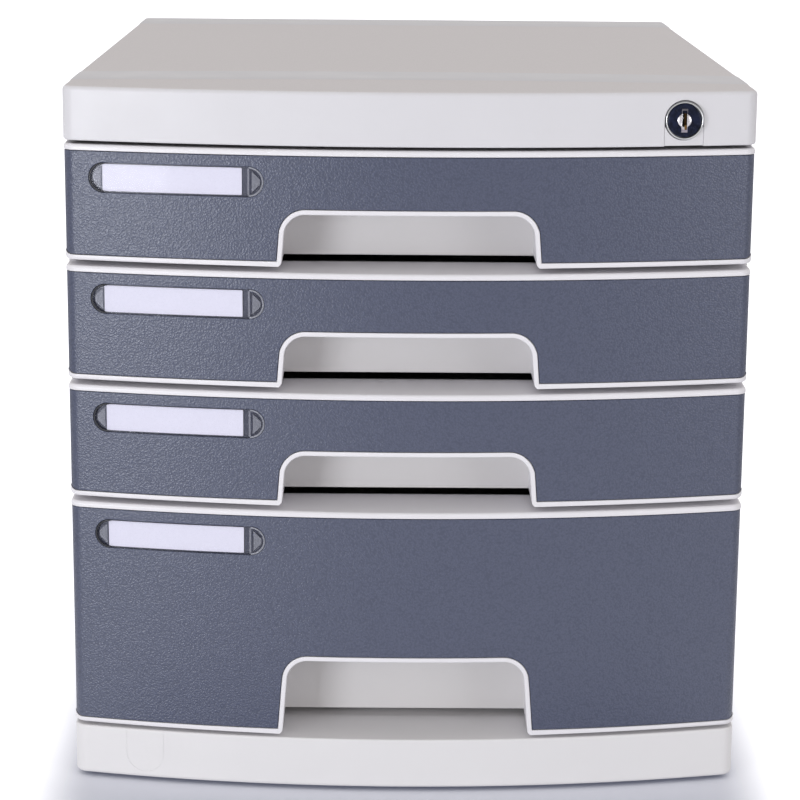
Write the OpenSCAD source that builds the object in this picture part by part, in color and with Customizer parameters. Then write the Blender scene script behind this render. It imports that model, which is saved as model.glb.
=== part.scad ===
// Desktop file cabinet: three shallow drawers over a deep one, a bowed front, and a key lock in the
// cover that lowers one bar in front of a tab on every drawer.
// Millimetres. +X is to the right of someone who faces the front, +Y is to the back, +Z is up.
// The origin is the middle of the footprint, on the surface that the feet stand on.

/* [Cabinet] */
// Width over the cover, the base and the drawer fronts
cabinet_w = 302; // [290:1:330]
// Depth from the middle of the bowed front to the back
cabinet_d = 402; // [390:1:440]
// Radius of the bow of the front, seen from above
bow_r = 634; // [560:1:900]
// Radius of the upright corners at the ends of the bow
corner_r = 5; // [5:0.5:7]
// Wall of the cover, the base skirt and the side panels
shell_t = 3; // [2.6:0.1:4]
// Height of the base, without the feet
base_h = 23; // [20:0.5:30]
// Height of the cover
cover_h = 24; // [24:0.5:32]
// Thickness of the base's deck
deck_t = 2.5; // [2:0.1:4]
// Gap between the base and the lowest front
base_gap = 1.6; // [1:0.1:3]
// Gap between one front and the next
front_gap = 2.5; // [1.5:0.1:4]
// Gap between the highest front and the cover
cover_gap = 1.5; // [1:0.1:3]

/* [Cover top] */
// How far the smooth bands stand above the grained field
band_rise = 0.4; // [0.2:0.1:0.8]
// Distance from the middle of the front to the front band
band_from_front = 54; // [40:1:70]
// Width of the front band
band_w = 35; // [20:1:50]
// Radius of the front band's edges, seen from above
band_r = 1314; // [900:1:2000]
// Width of the band along the back
rear_band_w = 38; // [20:1:50]
// Thickness of the stiffening ribs under the cover and the base
rib_t = 2; // [1.5:0.1:3]
// Depth of the ribs below the cover's top and the deck
rib_depth = 8; // [4:0.5:12]
// Distance from one rib to the next
rib_pitch = 84; // [70:1:90]

/* [Drawer fronts] */
// Height of a shallow drawer's front
small_front_h = 51; // [46:0.5:70]
// Height of the deep drawer's front
deep_front_h = 104.4; // [90:0.2:130]
// Depth of a front from the middle of its bow to its flat back
front_depth = 33; // [31:0.5:38]
// Rim over the panel
rim_top = 2.6; // [2:0.1:4]
// Rim under the panel
rim_bottom = 2.3; // [2:0.1:4]
// Rim round the finger pull
rim_pull = 2.1; // [1.5:0.1:3]
// Rim behind the panel on the sides of a front
rim_side = 3; // [2:0.1:5]
// Wall of a front behind its panel
front_wall_t = 2; // [1.6:0.1:3]
// Top wall of a front, which shows as a ledge in the pull above it
ledge_t = 2.5; // [2:0.1:3.5]
// Bottom wall of a front
front_floor_t = 2; // [1.6:0.1:3]
// Ribs at both sides of the finger pull
cheek_t = 2.5; // [1.6:0.1:4]

/* [Finger pull] */
// Width at the bottom
pull_w = 110.8; // [90:0.2:120]
// Height in a shallow front
small_pull_h = 22.9; // [18:0.1:28]
// Height in the deep front
deep_pull_h = 34.9; // [25:0.1:45]
// Lean of the sides, in degrees
pull_lean = 4.5; // [0:0.5:10]
// Radius of the upper corners
pull_r = 9.3; // [5:0.1:12]

/* [Panel and label] */
// Thickness of the grained panel
panel_t = 2.1; // [1.8:0.1:3]
// How far the panel's face lies below the rim
panel_sink = 0.3; // [0.1:0.1:0.6]
// Gap round the edge of the panel
panel_gap = 0.15; // [0.1:0.05:0.3]
// Radius of the panel's lower outer corners
panel_corner_r = 3.5; // [2:0.1:5]
// Width of the clear label window, with its round ends
window_w = 76.6; // [60:0.2:84]
// Height of the label window
window_h = 13; // [10:0.2:15]
// Distance from the side of the cabinet to the label window
window_from_side = 11.5; // [10:0.5:20]
// Distance from the top of a front to the middle of its label window
window_drop = 14.25; // [12:0.25:17]
// Thickness of the clear window
window_t = 1.3; // [0.8:0.1:1.4]
// Gap round the label window
window_gap = 0.1; // [0.05:0.05:0.2]
// Width of the label card
card_w = 61.1; // [50:0.1:66]
// Height of the label card
card_h = 11.8; // [9:0.1:12]
// Thickness of the label card
card_t = 0.4; // [0.2:0.1:0.5]
// Distance from the window's outer end to the card
card_from_end = 6; // [4:0.1:10]

/* [Trays] */
// Wall of a tray
tray_t = 2; // [1.6:0.1:3]
// Plate at the front of a tray, which the drawer front is screwed to
plate_t = 2; // [1.6:0.1:3]
// Room between a tray's side wall and the side panel
side_room = 11; // [10:0.5:14]
// Reach of the flange that a tray hangs by
flange_reach = 5.5; // [4.5:0.1:6]
// Thickness of that flange
flange_t = 2.5; // [2:0.1:4]
// Distance from the top of a front down to the top of its tray
tray_drop = 5; // [4:0.5:8]
// Height of a shallow tray's underside above the bottom of its front
small_tray_lift = 0.6; // [0.4:0.1:2]
// Height of the deep tray's underside above the bottom of its front
deep_tray_lift = 1.8; // [0.4:0.1:3]
// Room between a tray and the back panel
tray_back_gap = 6; // [4:0.5:10]
// How far a drawer opens before its stops meet
travel = 270; // [200:1:280]

/* [Runners] */
// Thickness of the lower rails that the flanges rest on
rail_t = 2.5; // [2:0.1:3]
// Thickness of the upper rails that keep an open drawer level
keeper_t = 2; // [1.5:0.1:2.5]
// Running gap over and under a flange
run_gap = 0.3; // [0.2:0.05:0.6]
// Gap between a rail and the side wall of a tray
rail_gap = 1.5; // [1:0.1:3]
// Length of a stop tab at the end of a flange
stop_tab_l = 8; // [5:0.5:12]
// Length of a stop block in a runner
stop_block_l = 10; // [6:0.5:20]
// Gap left when the stops meet
stop_gap = 0.2; // [0.1:0.1:0.5]

/* [Lock] */
// Distance from the right side of the cabinet to the lock's axis
lock_from_side = 32.8; // [31:0.2:40]
// Height of the lock's axis above the bottom of the cover
lock_rise = 11.3; // [11:0.1:13]
// Diameter of the chrome ring
ring_d = 16.7; // [16:0.1:17.5]
// Thickness of the chrome ring
ring_t = 3; // [2.5:0.1:4]
// How far the ring stands out of the fascia at the lock's axis
ring_proud = 1; // [0.4:0.1:2]
// Gap between the ring and the opening it sits in
ring_gap = 0.3; // [0.2:0.05:0.5]
// Diameter of the barrel
barrel_d = 13; // [12:0.1:14]
// Length of the barrel behind the ring
barrel_l = 18; // [16:0.5:20]
// Diameter of the plug's polished face
face_d = 14.7; // [13.6:0.1:15]
// Thickness of the plug's face
face_t = 1.6; // [1.2:0.1:2]
// Diameter of the plug inside the barrel
plug_d = 10; // [9:0.1:11]
// Radial running gap of the plug
plug_gap = 0.05; // [0.03:0.01:0.1]
// Diameter of the brass key core
core_d = 6.1; // [5.5:0.1:7]
// Depth of the key core
core_depth = 6; // [4:0.5:10]
// Length of the keyway surround
keyway_l = 10.3; // [9:0.1:11]
// Width of the keyway surround
keyway_w = 2.65; // [2.2:0.05:3]
// Width of the key slot
key_slot_w = 1.2; // [0.8:0.1:1.4]
// Length of the key slot
key_slot_l = 7.8; // [6:0.1:8.4]
// Distance from the lock's axis to the crank pin
crank_r = 6; // [5.5:0.1:6.5]
// Diameter of the crank pin
crank_pin_d = 3; // [2.5:0.1:3.5]
// Thickness of the cam
cam_t = 2; // [1.5:0.1:2.5]

/* [Lock bar] */
// Gap on both sides of the bar
bar_gap = 0.7; // [0.4:0.05:0.8]
// Depth of the bar from front to back
bar_d = 10; // [8:0.5:12]
// Thickness of the bar's arm
arm_t = 2.8; // [2:0.1:4]
// Height of the bar's arm
arm_h = 8.4; // [8:0.1:9]
// Play of the crank pin in the arm's slot, on each side
slot_play = 0.45; // [0.4:0.05:0.6]
// Reach of a drawer's lock tab beyond its flange
tab_reach = 2.6; // [2:0.1:2.8]
// Height of a lock tab
tab_h = 4.5; // [3.5:0.1:5]
// Thickness of a lock tab
tab_t = 2.6; // [2:0.1:4]
// Gap between the bar and a lock tab behind it
tab_gap = 0.4; // [0.3:0.1:1]
// Gap over and under a lock tab in its notch
notch_gap = 1; // [0.6:0.1:1.3]
// Wall of the loops that guide the bar
guide_t = 1.6; // [1.2:0.1:2.5]
// Height of the loops that guide the bar
guide_h = 8; // [5:0.5:12]
// Gap between the bar and its loops
guide_gap = 0.4; // [0.3:0.05:0.6]

/* [Feet] */
// Diameter of a rubber foot
foot_d = 18; // [14:0.5:22]
// How far a foot stands below the base
foot_show = 2; // [1:0.1:4]
// How deep a foot sits in its socket
foot_sink = 3; // [2:0.1:5]
// Gap round a foot in its socket
foot_gap = 0.1; // [0.05:0.05:0.3]
// Wall of a foot's socket
socket_t = 3; // [2:0.1:4]
// Distance from a foot's axis to the side of the cabinet
foot_from_side = 25; // [18:0.5:40]
// Distance from the front feet's axes to the middle of the front
foot_from_front = 41; // [38:0.5:60]
// Distance from the rear feet's axes to the back
foot_from_back = 30; // [18:0.5:50]

/* [Screws] */
// Diameter of the screws
screw_d = 3; // [2.5:0.1:3.5]
// Diameter of their heads
head_d = 5.6; // [5:0.1:6.5]
// Height of their heads
head_h = 2; // [1.5:0.1:2.5]
// Length of the screws under the head
screw_l = 12; // [10:0.5:14]
// Clearance round a screw where it passes through a wall
screw_gap = 0.2; // [0.1:0.05:0.3]
// Diameter of the posts and bosses that the screws go into
boss_d = 8; // [7:0.1:9]
// Length of the bosses for the back panel's screws
boss_l = 14; // [13:0.5:16]
// Thickness of the back panel
back_t = 3; // [2:0.1:4]
// Distance from the middle of the front to the front screws of the cover and the base
screw_from_front = 72; // [68:1:90]
// Distance from the back to the rear screws of the cover and the base
screw_from_back = 48; // [42:1:70]
// Distance from the deck to the lowest screws of the back panel
back_screw_rise = 25; // [15:1:40]
// Distance from one screw of the back panel to the next above it
back_screw_pitch = 107; // [100:1:110]
// Distance from the top of a front to its upper row of screws
front_screw_drop = 22; // [18:0.5:26]
// Distance from the upper row to the lower row in the deep front
front_row_pitch = 50; // [40:1:60]
// Distance from the finger pull to a front's inner screws
front_screw_in = 14; // [9:0.5:18]
// Distance from a tray's side to a front's outer screws
front_screw_from_tray = 17.6; // [12:0.2:24]
// Width of the drive slots in the screw heads
drive_w = 0.7; // [0.5:0.1:1]

/* [Hidden] */
$fn = 96;
bow_fn = 720;
over = 1;                                    // overshoot of a cut past the face that it opens
ease = 3;                                    // angle at which a round corner meets its flats
rest_gap = 1;                                // gap behind a closed front
panel_wrap = 0.5;                            // how far a panel's outline passes the sides, in front view
plate_inset = 1;                             // a tray's plate stops this far inside the side panels
plate_drop = 1;                              // and this far below the top of its front
rail_setback = 4;                            // the rails start this far behind the lock tabs
flange_clear = 2;                            // room between a flange's end and the back panel's bosses
head_gap = 0.3;                              // room beside, over or behind a screw head
blind_end = 2;                               // how much deeper a boss is than its screw
rib_offset = 20;                             // the middle rib lies this far in front of the middle
tongue_t = 2.6;                              // tongues that stand up inside the cover
tongue_wing = 6;                             // how far a tongue reaches past its lug on each side
tongue_over = 4;                             // how far it stands above the lug
loop_rise = 14;                              // height of the bar's loops above the trays beside them
bar_tail = 10;                               // how far the bar reaches below its lowest notch
arm_end = 2;                                 // wall at the end of the arm's slot
foot_chamfer = 1;
insert_sink = 0.2;                           // the lock's blank lies this far behind the fascia
insert_gap = 0.1;                            // gap on each side of the blank
insert_edge = 0.4;                           // its lower edge stays this far above the cover's
insert_lip = 1.8;                            // thickness of the lip behind the fascia
insert_lip_reach = 2;                        // how far the lip reaches past the opening
insert_top = 3;                              // the blank ends this far below the lock's axis
key_slot_depth = 2.6;
cam_gap = 0.3;                               // gap between the barrel and the cam
arm_gap = 0.6;                               // gap between the cam screw's head and the bar's arm
nut_from_seat = 9;                           // the nut lies this far behind the ring
mark_w = 0.3;                                // width of the fine line on the base
drawers = [1:4];                             // 1 is the highest drawer, 4 is the deep one
deep = 4;
half_w = cabinet_w / 2;
front_y = -cabinet_d / 2;
back_y = cabinet_d / 2;
bow_y = front_y + bow_r;                     // centre of the bow

// Levels
base_z = foot_show;
deck_z = base_z + base_h;
function front_h(i) = i == deep ? deep_front_h : small_front_h;
function front_z(i) = i == deep ? deck_z + base_gap : front_top(i + 1) + front_gap;
function front_top(i) = front_z(i) + front_h(i);
cover_z = front_top(1) + cover_gap;
total_h = cover_z + cover_h;
function tray_z(i) = front_z(i) + (i == deep ? deep_tray_lift : small_tray_lift);
function tray_top(i) = front_top(i) - tray_drop;
function pull_h(i) = i == deep ? deep_pull_h : small_pull_h;

// Places across the width
side_in = half_w - shell_t;
tray_half = side_in - side_room;
flange_half = tray_half + flange_reach;
rail_in = tray_half + rail_gap;
bar_in = flange_half + bar_gap;
bar_out = side_in - bar_gap;
tab_tip = flange_half + tab_reach;
screw_x = (rail_in + side_in) / 2;           // screws of the cover, the base and the back panel
plate_half = side_in - plate_inset;
foot_x = half_w - foot_from_side;
lock_x = half_w - lock_from_side;
pull_half = pull_w / 2;

// Places along the depth
front_back_y = front_y + front_depth;        // flat backs of the fronts
plate_back_y = front_back_y + plate_t;
side_front_y = front_back_y + rest_gap;      // front edges of the side panels
bar_y = plate_back_y + rest_gap / 2 + guide_t + guide_gap;
bar_back_y = bar_y + bar_d;
tab_y = bar_back_y + tab_gap;
rail_y = tab_y + tab_t + rail_setback;       // front ends of the rails
back_out_y = back_y - head_h;                // the back panel is set in by the height of a screw head
back_in_y = back_out_y - back_t;
tray_back_y = back_in_y - tray_back_gap;
flange_end_y = back_in_y - boss_l - flange_clear;
stop_tab_y = flange_end_y - stop_tab_l;
stop_y = stop_tab_y - travel - stop_gap;     // rear faces of the stop blocks
screw_ys = [front_y + screw_from_front, back_y - screw_from_back];
rib_ys = [for (k = [-1:1]) k * rib_pitch - rib_offset];

// Skins of a front, as distances in from its face
pocket_in = panel_sink + panel_t;            // floor of the panel's pocket
hollow_in = pocket_in + front_wall_t;        // inner face of the front wall
window_in = 0.1;
card_in = window_in + window_t;
label_floor_in = card_in + card_t;
window_x = -half_w + window_from_side + window_w / 2;
card_x = window_x - window_w / 2 + card_from_end + card_w / 2;

// Lock
lock_z = cover_z + lock_rise;
cover_in_z = total_h - shell_t - band_rise;  // underside of the cover's top wall
ring_y = bow_y - sqrt(bow_r * bow_r - lock_x * lock_x) - ring_proud;
seat_y = ring_y + ring_t;
barrel_back_y = seat_y + barrel_l;
cam_y = barrel_back_y + cam_gap;
slot_half = ring_d / 2 + ring_gap;           // half width of the U-shaped opening in the fascia
face_sink = 0.3;                             // the plug's face lies this far behind the ring's
nut_t = 3.5;
nut_af = 17;
nut_y = seat_y + nut_from_seat;
crank_x = crank_r * cos(45);                 // the pin rests 45 degrees above the level of the axis
arm_z = lock_z + crank_x;                    // middle of the arm when the bar is up
arm_y = cam_y + cam_t + head_h + arm_gap;
bar_drop = 2 * crank_x;                      // how far a quarter turn lowers the bar
bar_bottom_z = tray_top(deep) - tab_h - notch_gap - bar_tail;

// Feet and lugs
foot_ys = [front_y + foot_from_front, back_y - foot_from_back];
lug_z = tray_top(1) + run_gap + keeper_t + head_h + head_gap;
lug_t = 4;
deck_boss_h = screw_l + blind_end;
back_screw_zs = [for (k = [0:2]) deck_z + back_screw_rise + k * back_screw_pitch];

shell_grey = [0.89, 0.89, 0.91];
tray_grey = [0.80, 0.80, 0.82];
panel_blue = [0.40, 0.42, 0.49];
rubber = [0.12, 0.12, 0.13];
zinc = [0.62, 0.64, 0.66];

// ---- shared shapes ----

// What lies beyond a round corner, between two directions from its centre, to be cut off an outline.
// The round meets its flats at the ease angle, which can't be seen, and not at a tangent.
module nick(centre, r, from, to) {
    reach = r + over;
    mid = (from + to) / 2;
    far = reach / cos((to - from) / 2);
    translate(centre) difference() {
        polygon([[0, 0], reach * [cos(from), sin(from)], far * [cos(mid), sin(mid)],
                 reach * [cos(to), sin(to)]]);
        circle(r / cos(ease));
    }
}

// The nick of the upright corner at the right end of the bow
module bow_nick(inset) {
    r = corner_r - inset;
    cx = half_w - inset - r;
    cy = bow_y - sqrt(pow(bow_r - inset - r, 2) - cx * cx);
    nick([cx, cy], r, atan2(cy - bow_y, cx), 0);
}

// Outline with a bowed front and round front corners, a set distance inside the outer one
module bowed(inset, to_y) {
    half = half_w - inset;
    difference() {
        intersection() {
            translate([0, bow_y]) circle(bow_r - inset, $fn = bow_fn);
            translate([-half, front_y - over]) square([2 * half, to_y - front_y + over]);
        }
        if (corner_r - inset > 0.3) {
            bow_nick(inset);
            mirror([1, 0]) bow_nick(inset);
        }
    }
}

// A shape drawn in X and Z, standing upright from one depth back to another
module upright(from_y, to_y) {
    translate([0, to_y, 0]) rotate([90, 0, 0]) linear_extrude(to_y - from_y) children();
}

// A round bar along Y
module rod(x, z, from_y, to_y, d) {
    translate([x, to_y, z]) rotate([90, 0, 0]) cylinder(h = to_y - from_y, d = d);
}

// A box from one corner to the other
module block(low, high) {
    translate(low) cube(high - low);
}

// The finger pull of a front, grown all round, in X and Z above the bottom of the front
module pull_shape(i, grow) {
    h = pull_h(i) + grow;
    r = pull_r + grow;
    half = pull_half + grow / cos(pull_lean);
    low_half = half + over * tan(pull_lean);
    high_half = half - h * tan(pull_lean);
    cz = h - r;
    cx = half - (r + cz * sin(pull_lean)) / cos(pull_lean);
    difference() {
        polygon([[low_half, -over], [high_half, h], [-high_half, h], [-low_half, -over]]);
        nick([cx, cz], r, pull_lean, 90);
        nick([-cx, cz], r, 90, 180 - pull_lean);
    }
}

// The face of a panel in X and Z, shrunk all round by a gap
module panel_view(i, gap) {
    half = half_w + panel_wrap - gap;
    r = panel_corner_r;
    low = rim_bottom + gap;
    high = front_h(i) - rim_top - gap;
    translate([0, front_z(i)]) difference() {
        translate([-half, low]) square([2 * half, high - low]);
        nick([half - r, low + r], r, -90, 0);
        nick([r - half, low + r], r, 180, 270);
        pull_shape(i, rim_pull + gap);
    }
}

// The layer of a front between two distances in from its face
module layer(i, outer, inner, to_y) {
    translate([0, 0, front_z(i)]) linear_extrude(front_h(i)) difference() {
        bowed(outer, to_y);
        bowed(inner, to_y + over);
    }
}

// The part of such a layer that a panel, or its pocket, takes up
module panel_layer(i, outer, inner, gap) {
    intersection() {
        layer(i, outer, inner, front_back_y - rim_side - gap);
        upright(front_y - over, front_back_y) panel_view(i, gap);
    }
}

// The face of a label window in X and Z, grown all round
module window_view(i, grow) {
    r = window_h / 2 + grow;
    reach = (window_w - window_h) / 2;
    translate([window_x, front_top(i) - window_drop]) {
        translate([-reach, -r]) square([2 * reach, 2 * r]);
        for (s = [-1, 1]) translate([s * reach, 0]) circle(r);
    }
}

module card_view(i) {
    translate([card_x, front_top(i) - window_drop]) square([card_w, card_h], center = true);
}

// The U-shaped opening for the lock in X and Z, with its round end up, about the lock's axis
module lock_slot_view(r, down) {
    circle(r);
    translate([-r, -down]) square([2 * r, down]);
}

// A screw along +Z with the underside of its head at the origin
module screw() {
    cylinder(h = screw_l, d = screw_d);
    translate([0, 0, -head_h]) difference() {
        cylinder(h = head_h, d = head_d);
        for (turn = [0, 90]) rotate(turn)
            translate([0, 0, head_h / 4 - over]) cube([head_d * 0.6, drive_w, 2 * over], center = true);
    }
}

// ---- casing ----

module top_cover() {
    color(shell_grey) difference() {
        union() {
            difference() {
                translate([0, 0, cover_z]) linear_extrude(cover_h) bowed(0, back_y);
                translate([0, 0, cover_z - over]) linear_extrude(cover_in_z - cover_z + over)
                    bowed(shell_t, back_y - shell_t);
            }
            cover_posts();
            for (y = rib_ys)
                block([-side_in - over, y, cover_in_z - rib_depth],
                      [side_in + over, y + rib_t, cover_in_z + over]);
        }
        top_field();
        for (x = [-screw_x, screw_x], y = screw_ys)
            translate([x, y, lug_z + lug_t - over]) cylinder(h = screw_l - lug_t + 2 * over, d = screw_d);
        upright(front_y - over, seat_y + shell_t) translate([lock_x, lock_z])
            lock_slot_view(slot_half, lock_rise + over);
    }
}

// Posts under the cover, which its screws go into
module cover_posts() {
    for (x = [-screw_x, screw_x], y = screw_ys)
        translate([x, y, lug_z + lug_t]) cylinder(h = cover_in_z + over - lug_z - lug_t, d = boss_d);
}

// The grained field and front strip of the top, which lie lower than the smooth bands
module top_field() {
    first_y = front_y + band_from_front;
    translate([0, 0, total_h - band_rise]) linear_extrude(band_rise + over) difference() {
        translate([-half_w - over, front_y - over])
            square([cabinet_w + 2 * over, cabinet_d - rear_band_w + over]);
        difference() {
            translate([0, first_y + band_w - band_r]) circle(band_r, $fn = bow_fn);
            translate([0, first_y - band_r]) circle(band_r, $fn = bow_fn);
        }
    }
}

module base() {
    color(shell_grey) difference() {
        union() {
            difference() {
                translate([0, 0, base_z]) linear_extrude(base_h) bowed(0, back_y);
                translate([0, 0, base_z - over]) linear_extrude(base_h - deck_t + over)
                    bowed(shell_t, back_y - shell_t);
            }
            for (x = [-foot_x, foot_x], y = foot_ys)
                translate([x, y, base_z]) cylinder(h = base_h - 1, d = foot_d + 2 * (foot_gap + socket_t));
            for (y = rib_ys)
                block([-side_in - over, y, deck_z - deck_t - rib_depth],
                      [side_in + over, y + rib_t, deck_z - 1]);
        }
        for (x = [-foot_x, foot_x], y = foot_ys)
            translate([x, y, base_z - over]) cylinder(h = foot_sink + over, d = foot_d + 2 * foot_gap);
        for (x = [-screw_x, screw_x], y = screw_ys)
            translate([x, y, deck_z - deck_t - over])
                cylinder(h = deck_t + 2 * over, d = screw_d + 2 * screw_gap);
        blank_mark();
    }
}

// Fine line left by the closed twin of the lock's opening, upside down on the left of the base
module blank_mark() {
    up = lock_rise + over;
    intersection() {
        translate([0, 0, base_z]) linear_extrude(base_h + over) difference() {
            bowed(-over, front_y + front_depth);
            bowed(mark_w / 2, front_y + front_depth + over);
        }
        upright(front_y - over, front_back_y) translate([-lock_x, deck_z - lock_rise]) mirror([0, 1])
            difference() {
                lock_slot_view(slot_half, up);
                lock_slot_view(slot_half - mark_w, up + over);
            }
    }
}

// One side panel, drawn on the right; the left one is its mirror image without the bar's loops
module side_panel(loops) {
    color(shell_grey) difference() {
        union() {
            block([side_in, side_front_y, deck_z], [half_w, back_y, cover_z]);
            for (i = drawers) runner(i);
            for (y = screw_ys) {
                block([rail_in, y - boss_d / 2, deck_z],
                      [side_in + over, y + boss_d / 2, deck_z + deck_boss_h]);
                cover_lug(y);
            }
            for (z = back_screw_zs)
                block([rail_in, back_in_y - boss_l, z - boss_d / 2],
                      [side_in + over, back_in_y, z + boss_d / 2]);
            if (loops) for (i = [1, 3]) bar_loop(tray_z(i) + loop_rise);
        }
        for (y = screw_ys) {
            translate([screw_x, y, deck_z - over]) cylinder(h = screw_l + 2 * over, d = screw_d);
            translate([screw_x, y, lug_z - over])
                cylinder(h = lug_t + 2 * over, d = screw_d + 2 * screw_gap);
        }
        for (z = back_screw_zs) rod(screw_x, z, back_in_y - screw_l, back_in_y + over, screw_d);
    }
}

// The rails above and below one flange, and the block that its stop tab meets
module runner(i) {
    low = tray_top(i) - flange_t - run_gap;
    high = tray_top(i) + run_gap;
    block([rail_in, rail_y, low - rail_t], [side_in + over, back_in_y, low]);
    block([rail_in, rail_y, high], [side_in + over, back_in_y, high + keeper_t]);
    block([bar_in, stop_y - stop_block_l, low - over], [side_in + over, stop_y, high + over]);
}

// A tongue that stands up inside the cover, with a lug for a screw
module cover_lug(y) {
    half = boss_d / 2 + tongue_wing;
    bottom = tray_top(1) + run_gap + keeper_t / 2;
    top = lug_z + lug_t + tongue_over;
    difference() {
        union() {
            block([side_in - tongue_t, y - half, bottom], [side_in, y + half, top]);
            block([side_in - over, y - half, bottom], [side_in + over, y + half, cover_z]);
        }
        translate([screw_x, y, bottom - over])
            cylinder(h = lug_z - bottom + over, d = head_d + 2 * screw_gap);
        translate([screw_x, y, lug_z + lug_t])
            cylinder(h = tongue_over + over, d = boss_d + 2 * screw_gap);
    }
    block([rail_in, y - boss_d / 2, lug_z], [side_in, y + boss_d / 2, lug_z + lug_t]);
}

// A closed loop on the right side panel that the lock bar slides in
module bar_loop(z) {
    difference() {
        block([bar_in - guide_gap - guide_t, bar_y - guide_gap - guide_t, z],
              [side_in + over, bar_back_y + guide_gap + guide_t, z + guide_h]);
        block([bar_in - guide_gap, bar_y - guide_gap, z - over],
              [side_in, bar_back_y + guide_gap, z + guide_h + over]);
    }
}

module back_panel() {
    color(shell_grey) difference() {
        block([-side_in, back_in_y, deck_z], [side_in, back_out_y, cover_z]);
        for (x = [-screw_x, screw_x], z = back_screw_zs)
            rod(x, z, back_in_y - over, back_out_y + over, screw_d + 2 * screw_gap);
    }
}

module foot(x, y) {
    color(rubber) translate([x, y, 0]) {
        cylinder(h = foot_chamfer, d1 = foot_d - 2 * foot_chamfer, d2 = foot_d);
        translate([0, 0, foot_chamfer]) cylinder(h = foot_show + foot_sink - foot_chamfer, d = foot_d);
    }
}

module cover_screws() {
    color(zinc) for (x = [-screw_x, screw_x], y = screw_ys) translate([x, y, lug_z]) screw();
}

module base_screws() {
    color(zinc) for (x = [-screw_x, screw_x], y = screw_ys) translate([x, y, deck_z - deck_t]) screw();
}

module back_screws() {
    color(zinc) for (x = [-screw_x, screw_x], z = back_screw_zs)
        translate([x, back_out_y, z]) rotate([90, 0, 0]) screw();
}

// ---- lock ----

// Blank that fills the lock's opening in the fascia and carries the lock
module lock_insert() {
    down = lock_rise - insert_edge;
    color(shell_grey) difference() {
        union() {
            insert_layer(insert_sink, shell_t + over, slot_half - insert_gap, down, -insert_top);
            insert_layer(shell_t, shell_t + insert_lip, slot_half + insert_lip_reach, down,
                         slot_half - insert_edge);
            rod(lock_x, lock_z, seat_y - over, nut_y, ring_d);
        }
        rod(lock_x, lock_z, front_y, seat_y, ring_d + 2 * ring_gap);
        rod(lock_x, lock_z, front_y, nut_y + over, barrel_d + 2 * insert_gap);
    }
}

// A layer of the fascia's bow beside the lock's axis
module insert_layer(outer, inner, half, down, up) {
    intersection() {
        translate([0, 0, cover_z]) linear_extrude(cover_in_z - cover_z) difference() {
            bowed(outer, front_back_y);
            bowed(inner, front_back_y + over);
        }
        block([lock_x - half, front_y, lock_z - down], [lock_x + half, front_back_y, lock_z + up]);
    }
}

module lock_housing() {
    color(zinc) difference() {
        union() {
            rod(lock_x, lock_z, ring_y, seat_y, ring_d);
            rod(lock_x, lock_z, seat_y - 0.5, barrel_back_y, barrel_d);
        }
        rod(lock_x, lock_z, ring_y - over, ring_y + face_t, face_d + 4 * plug_gap);
        rod(lock_x, lock_z, ring_y, barrel_back_y + over, plug_d + 2 * plug_gap);
    }
}

module lock_nut() {
    color(zinc) difference() {
        translate([lock_x, nut_y + nut_t, lock_z]) rotate([90, 0, 0])
            cylinder(h = nut_t, d = nut_af / cos(30), $fn = 6);
        rod(lock_x, lock_z, nut_y - over, nut_y + nut_t + over, barrel_d);
    }
}

module lock_plug() {
    color([0.13, 0.14, 0.19]) difference() {
        union() {
            rod(lock_x, lock_z, ring_y + face_sink, ring_y + face_t - plug_gap, face_d);
            rod(lock_x, lock_z, ring_y + face_t - 0.5, cam_y, plug_d);
        }
        key_shape();
        rod(lock_x, lock_z, cam_y + cam_t - screw_l, cam_y + over, screw_d);
    }
}

// The brass core: a round body, and a shallow bar across the face that surrounds the key slot
module key_shape() {
    rod(lock_x, lock_z, ring_y, ring_y + core_depth, core_d);
    block([lock_x - keyway_w / 2, ring_y, lock_z - keyway_l / 2],
          [lock_x + keyway_w / 2, ring_y + face_t - face_sink, lock_z + keyway_l / 2]);
}

module key_core() {
    color([0.72, 0.58, 0.30]) difference() {
        key_shape();
        block([lock_x - key_slot_w / 2, ring_y - over, lock_z - key_slot_l / 2],
              [lock_x + key_slot_w / 2, ring_y + key_slot_depth, lock_z + key_slot_l / 2]);
    }
}

// Plate on the plug's end with the crank pin that works the bar
module lock_cam() {
    pin_y = arm_y + arm_t + arm_gap;
    color(zinc) difference() {
        union() {
            rod(lock_x, lock_z, cam_y, cam_y + cam_t, plug_d);
            translate([lock_x, 0, lock_z]) rotate([0, -45, 0])
                block([0, cam_y, -crank_pin_d], [crank_r, cam_y + cam_t, crank_pin_d]);
            rod(lock_x + crank_x, lock_z + crank_x, cam_y, cam_y + cam_t, 2 * crank_pin_d);
            rod(lock_x + crank_x, lock_z + crank_x, cam_y, pin_y, crank_pin_d);
        }
        rod(lock_x, lock_z, cam_y - over, cam_y + cam_t + over, screw_d);
    }
}

module cam_screw() {
    color(zinc) translate([lock_x, cam_y + cam_t, lock_z]) rotate([90, 0, 0]) screw();
}

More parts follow.
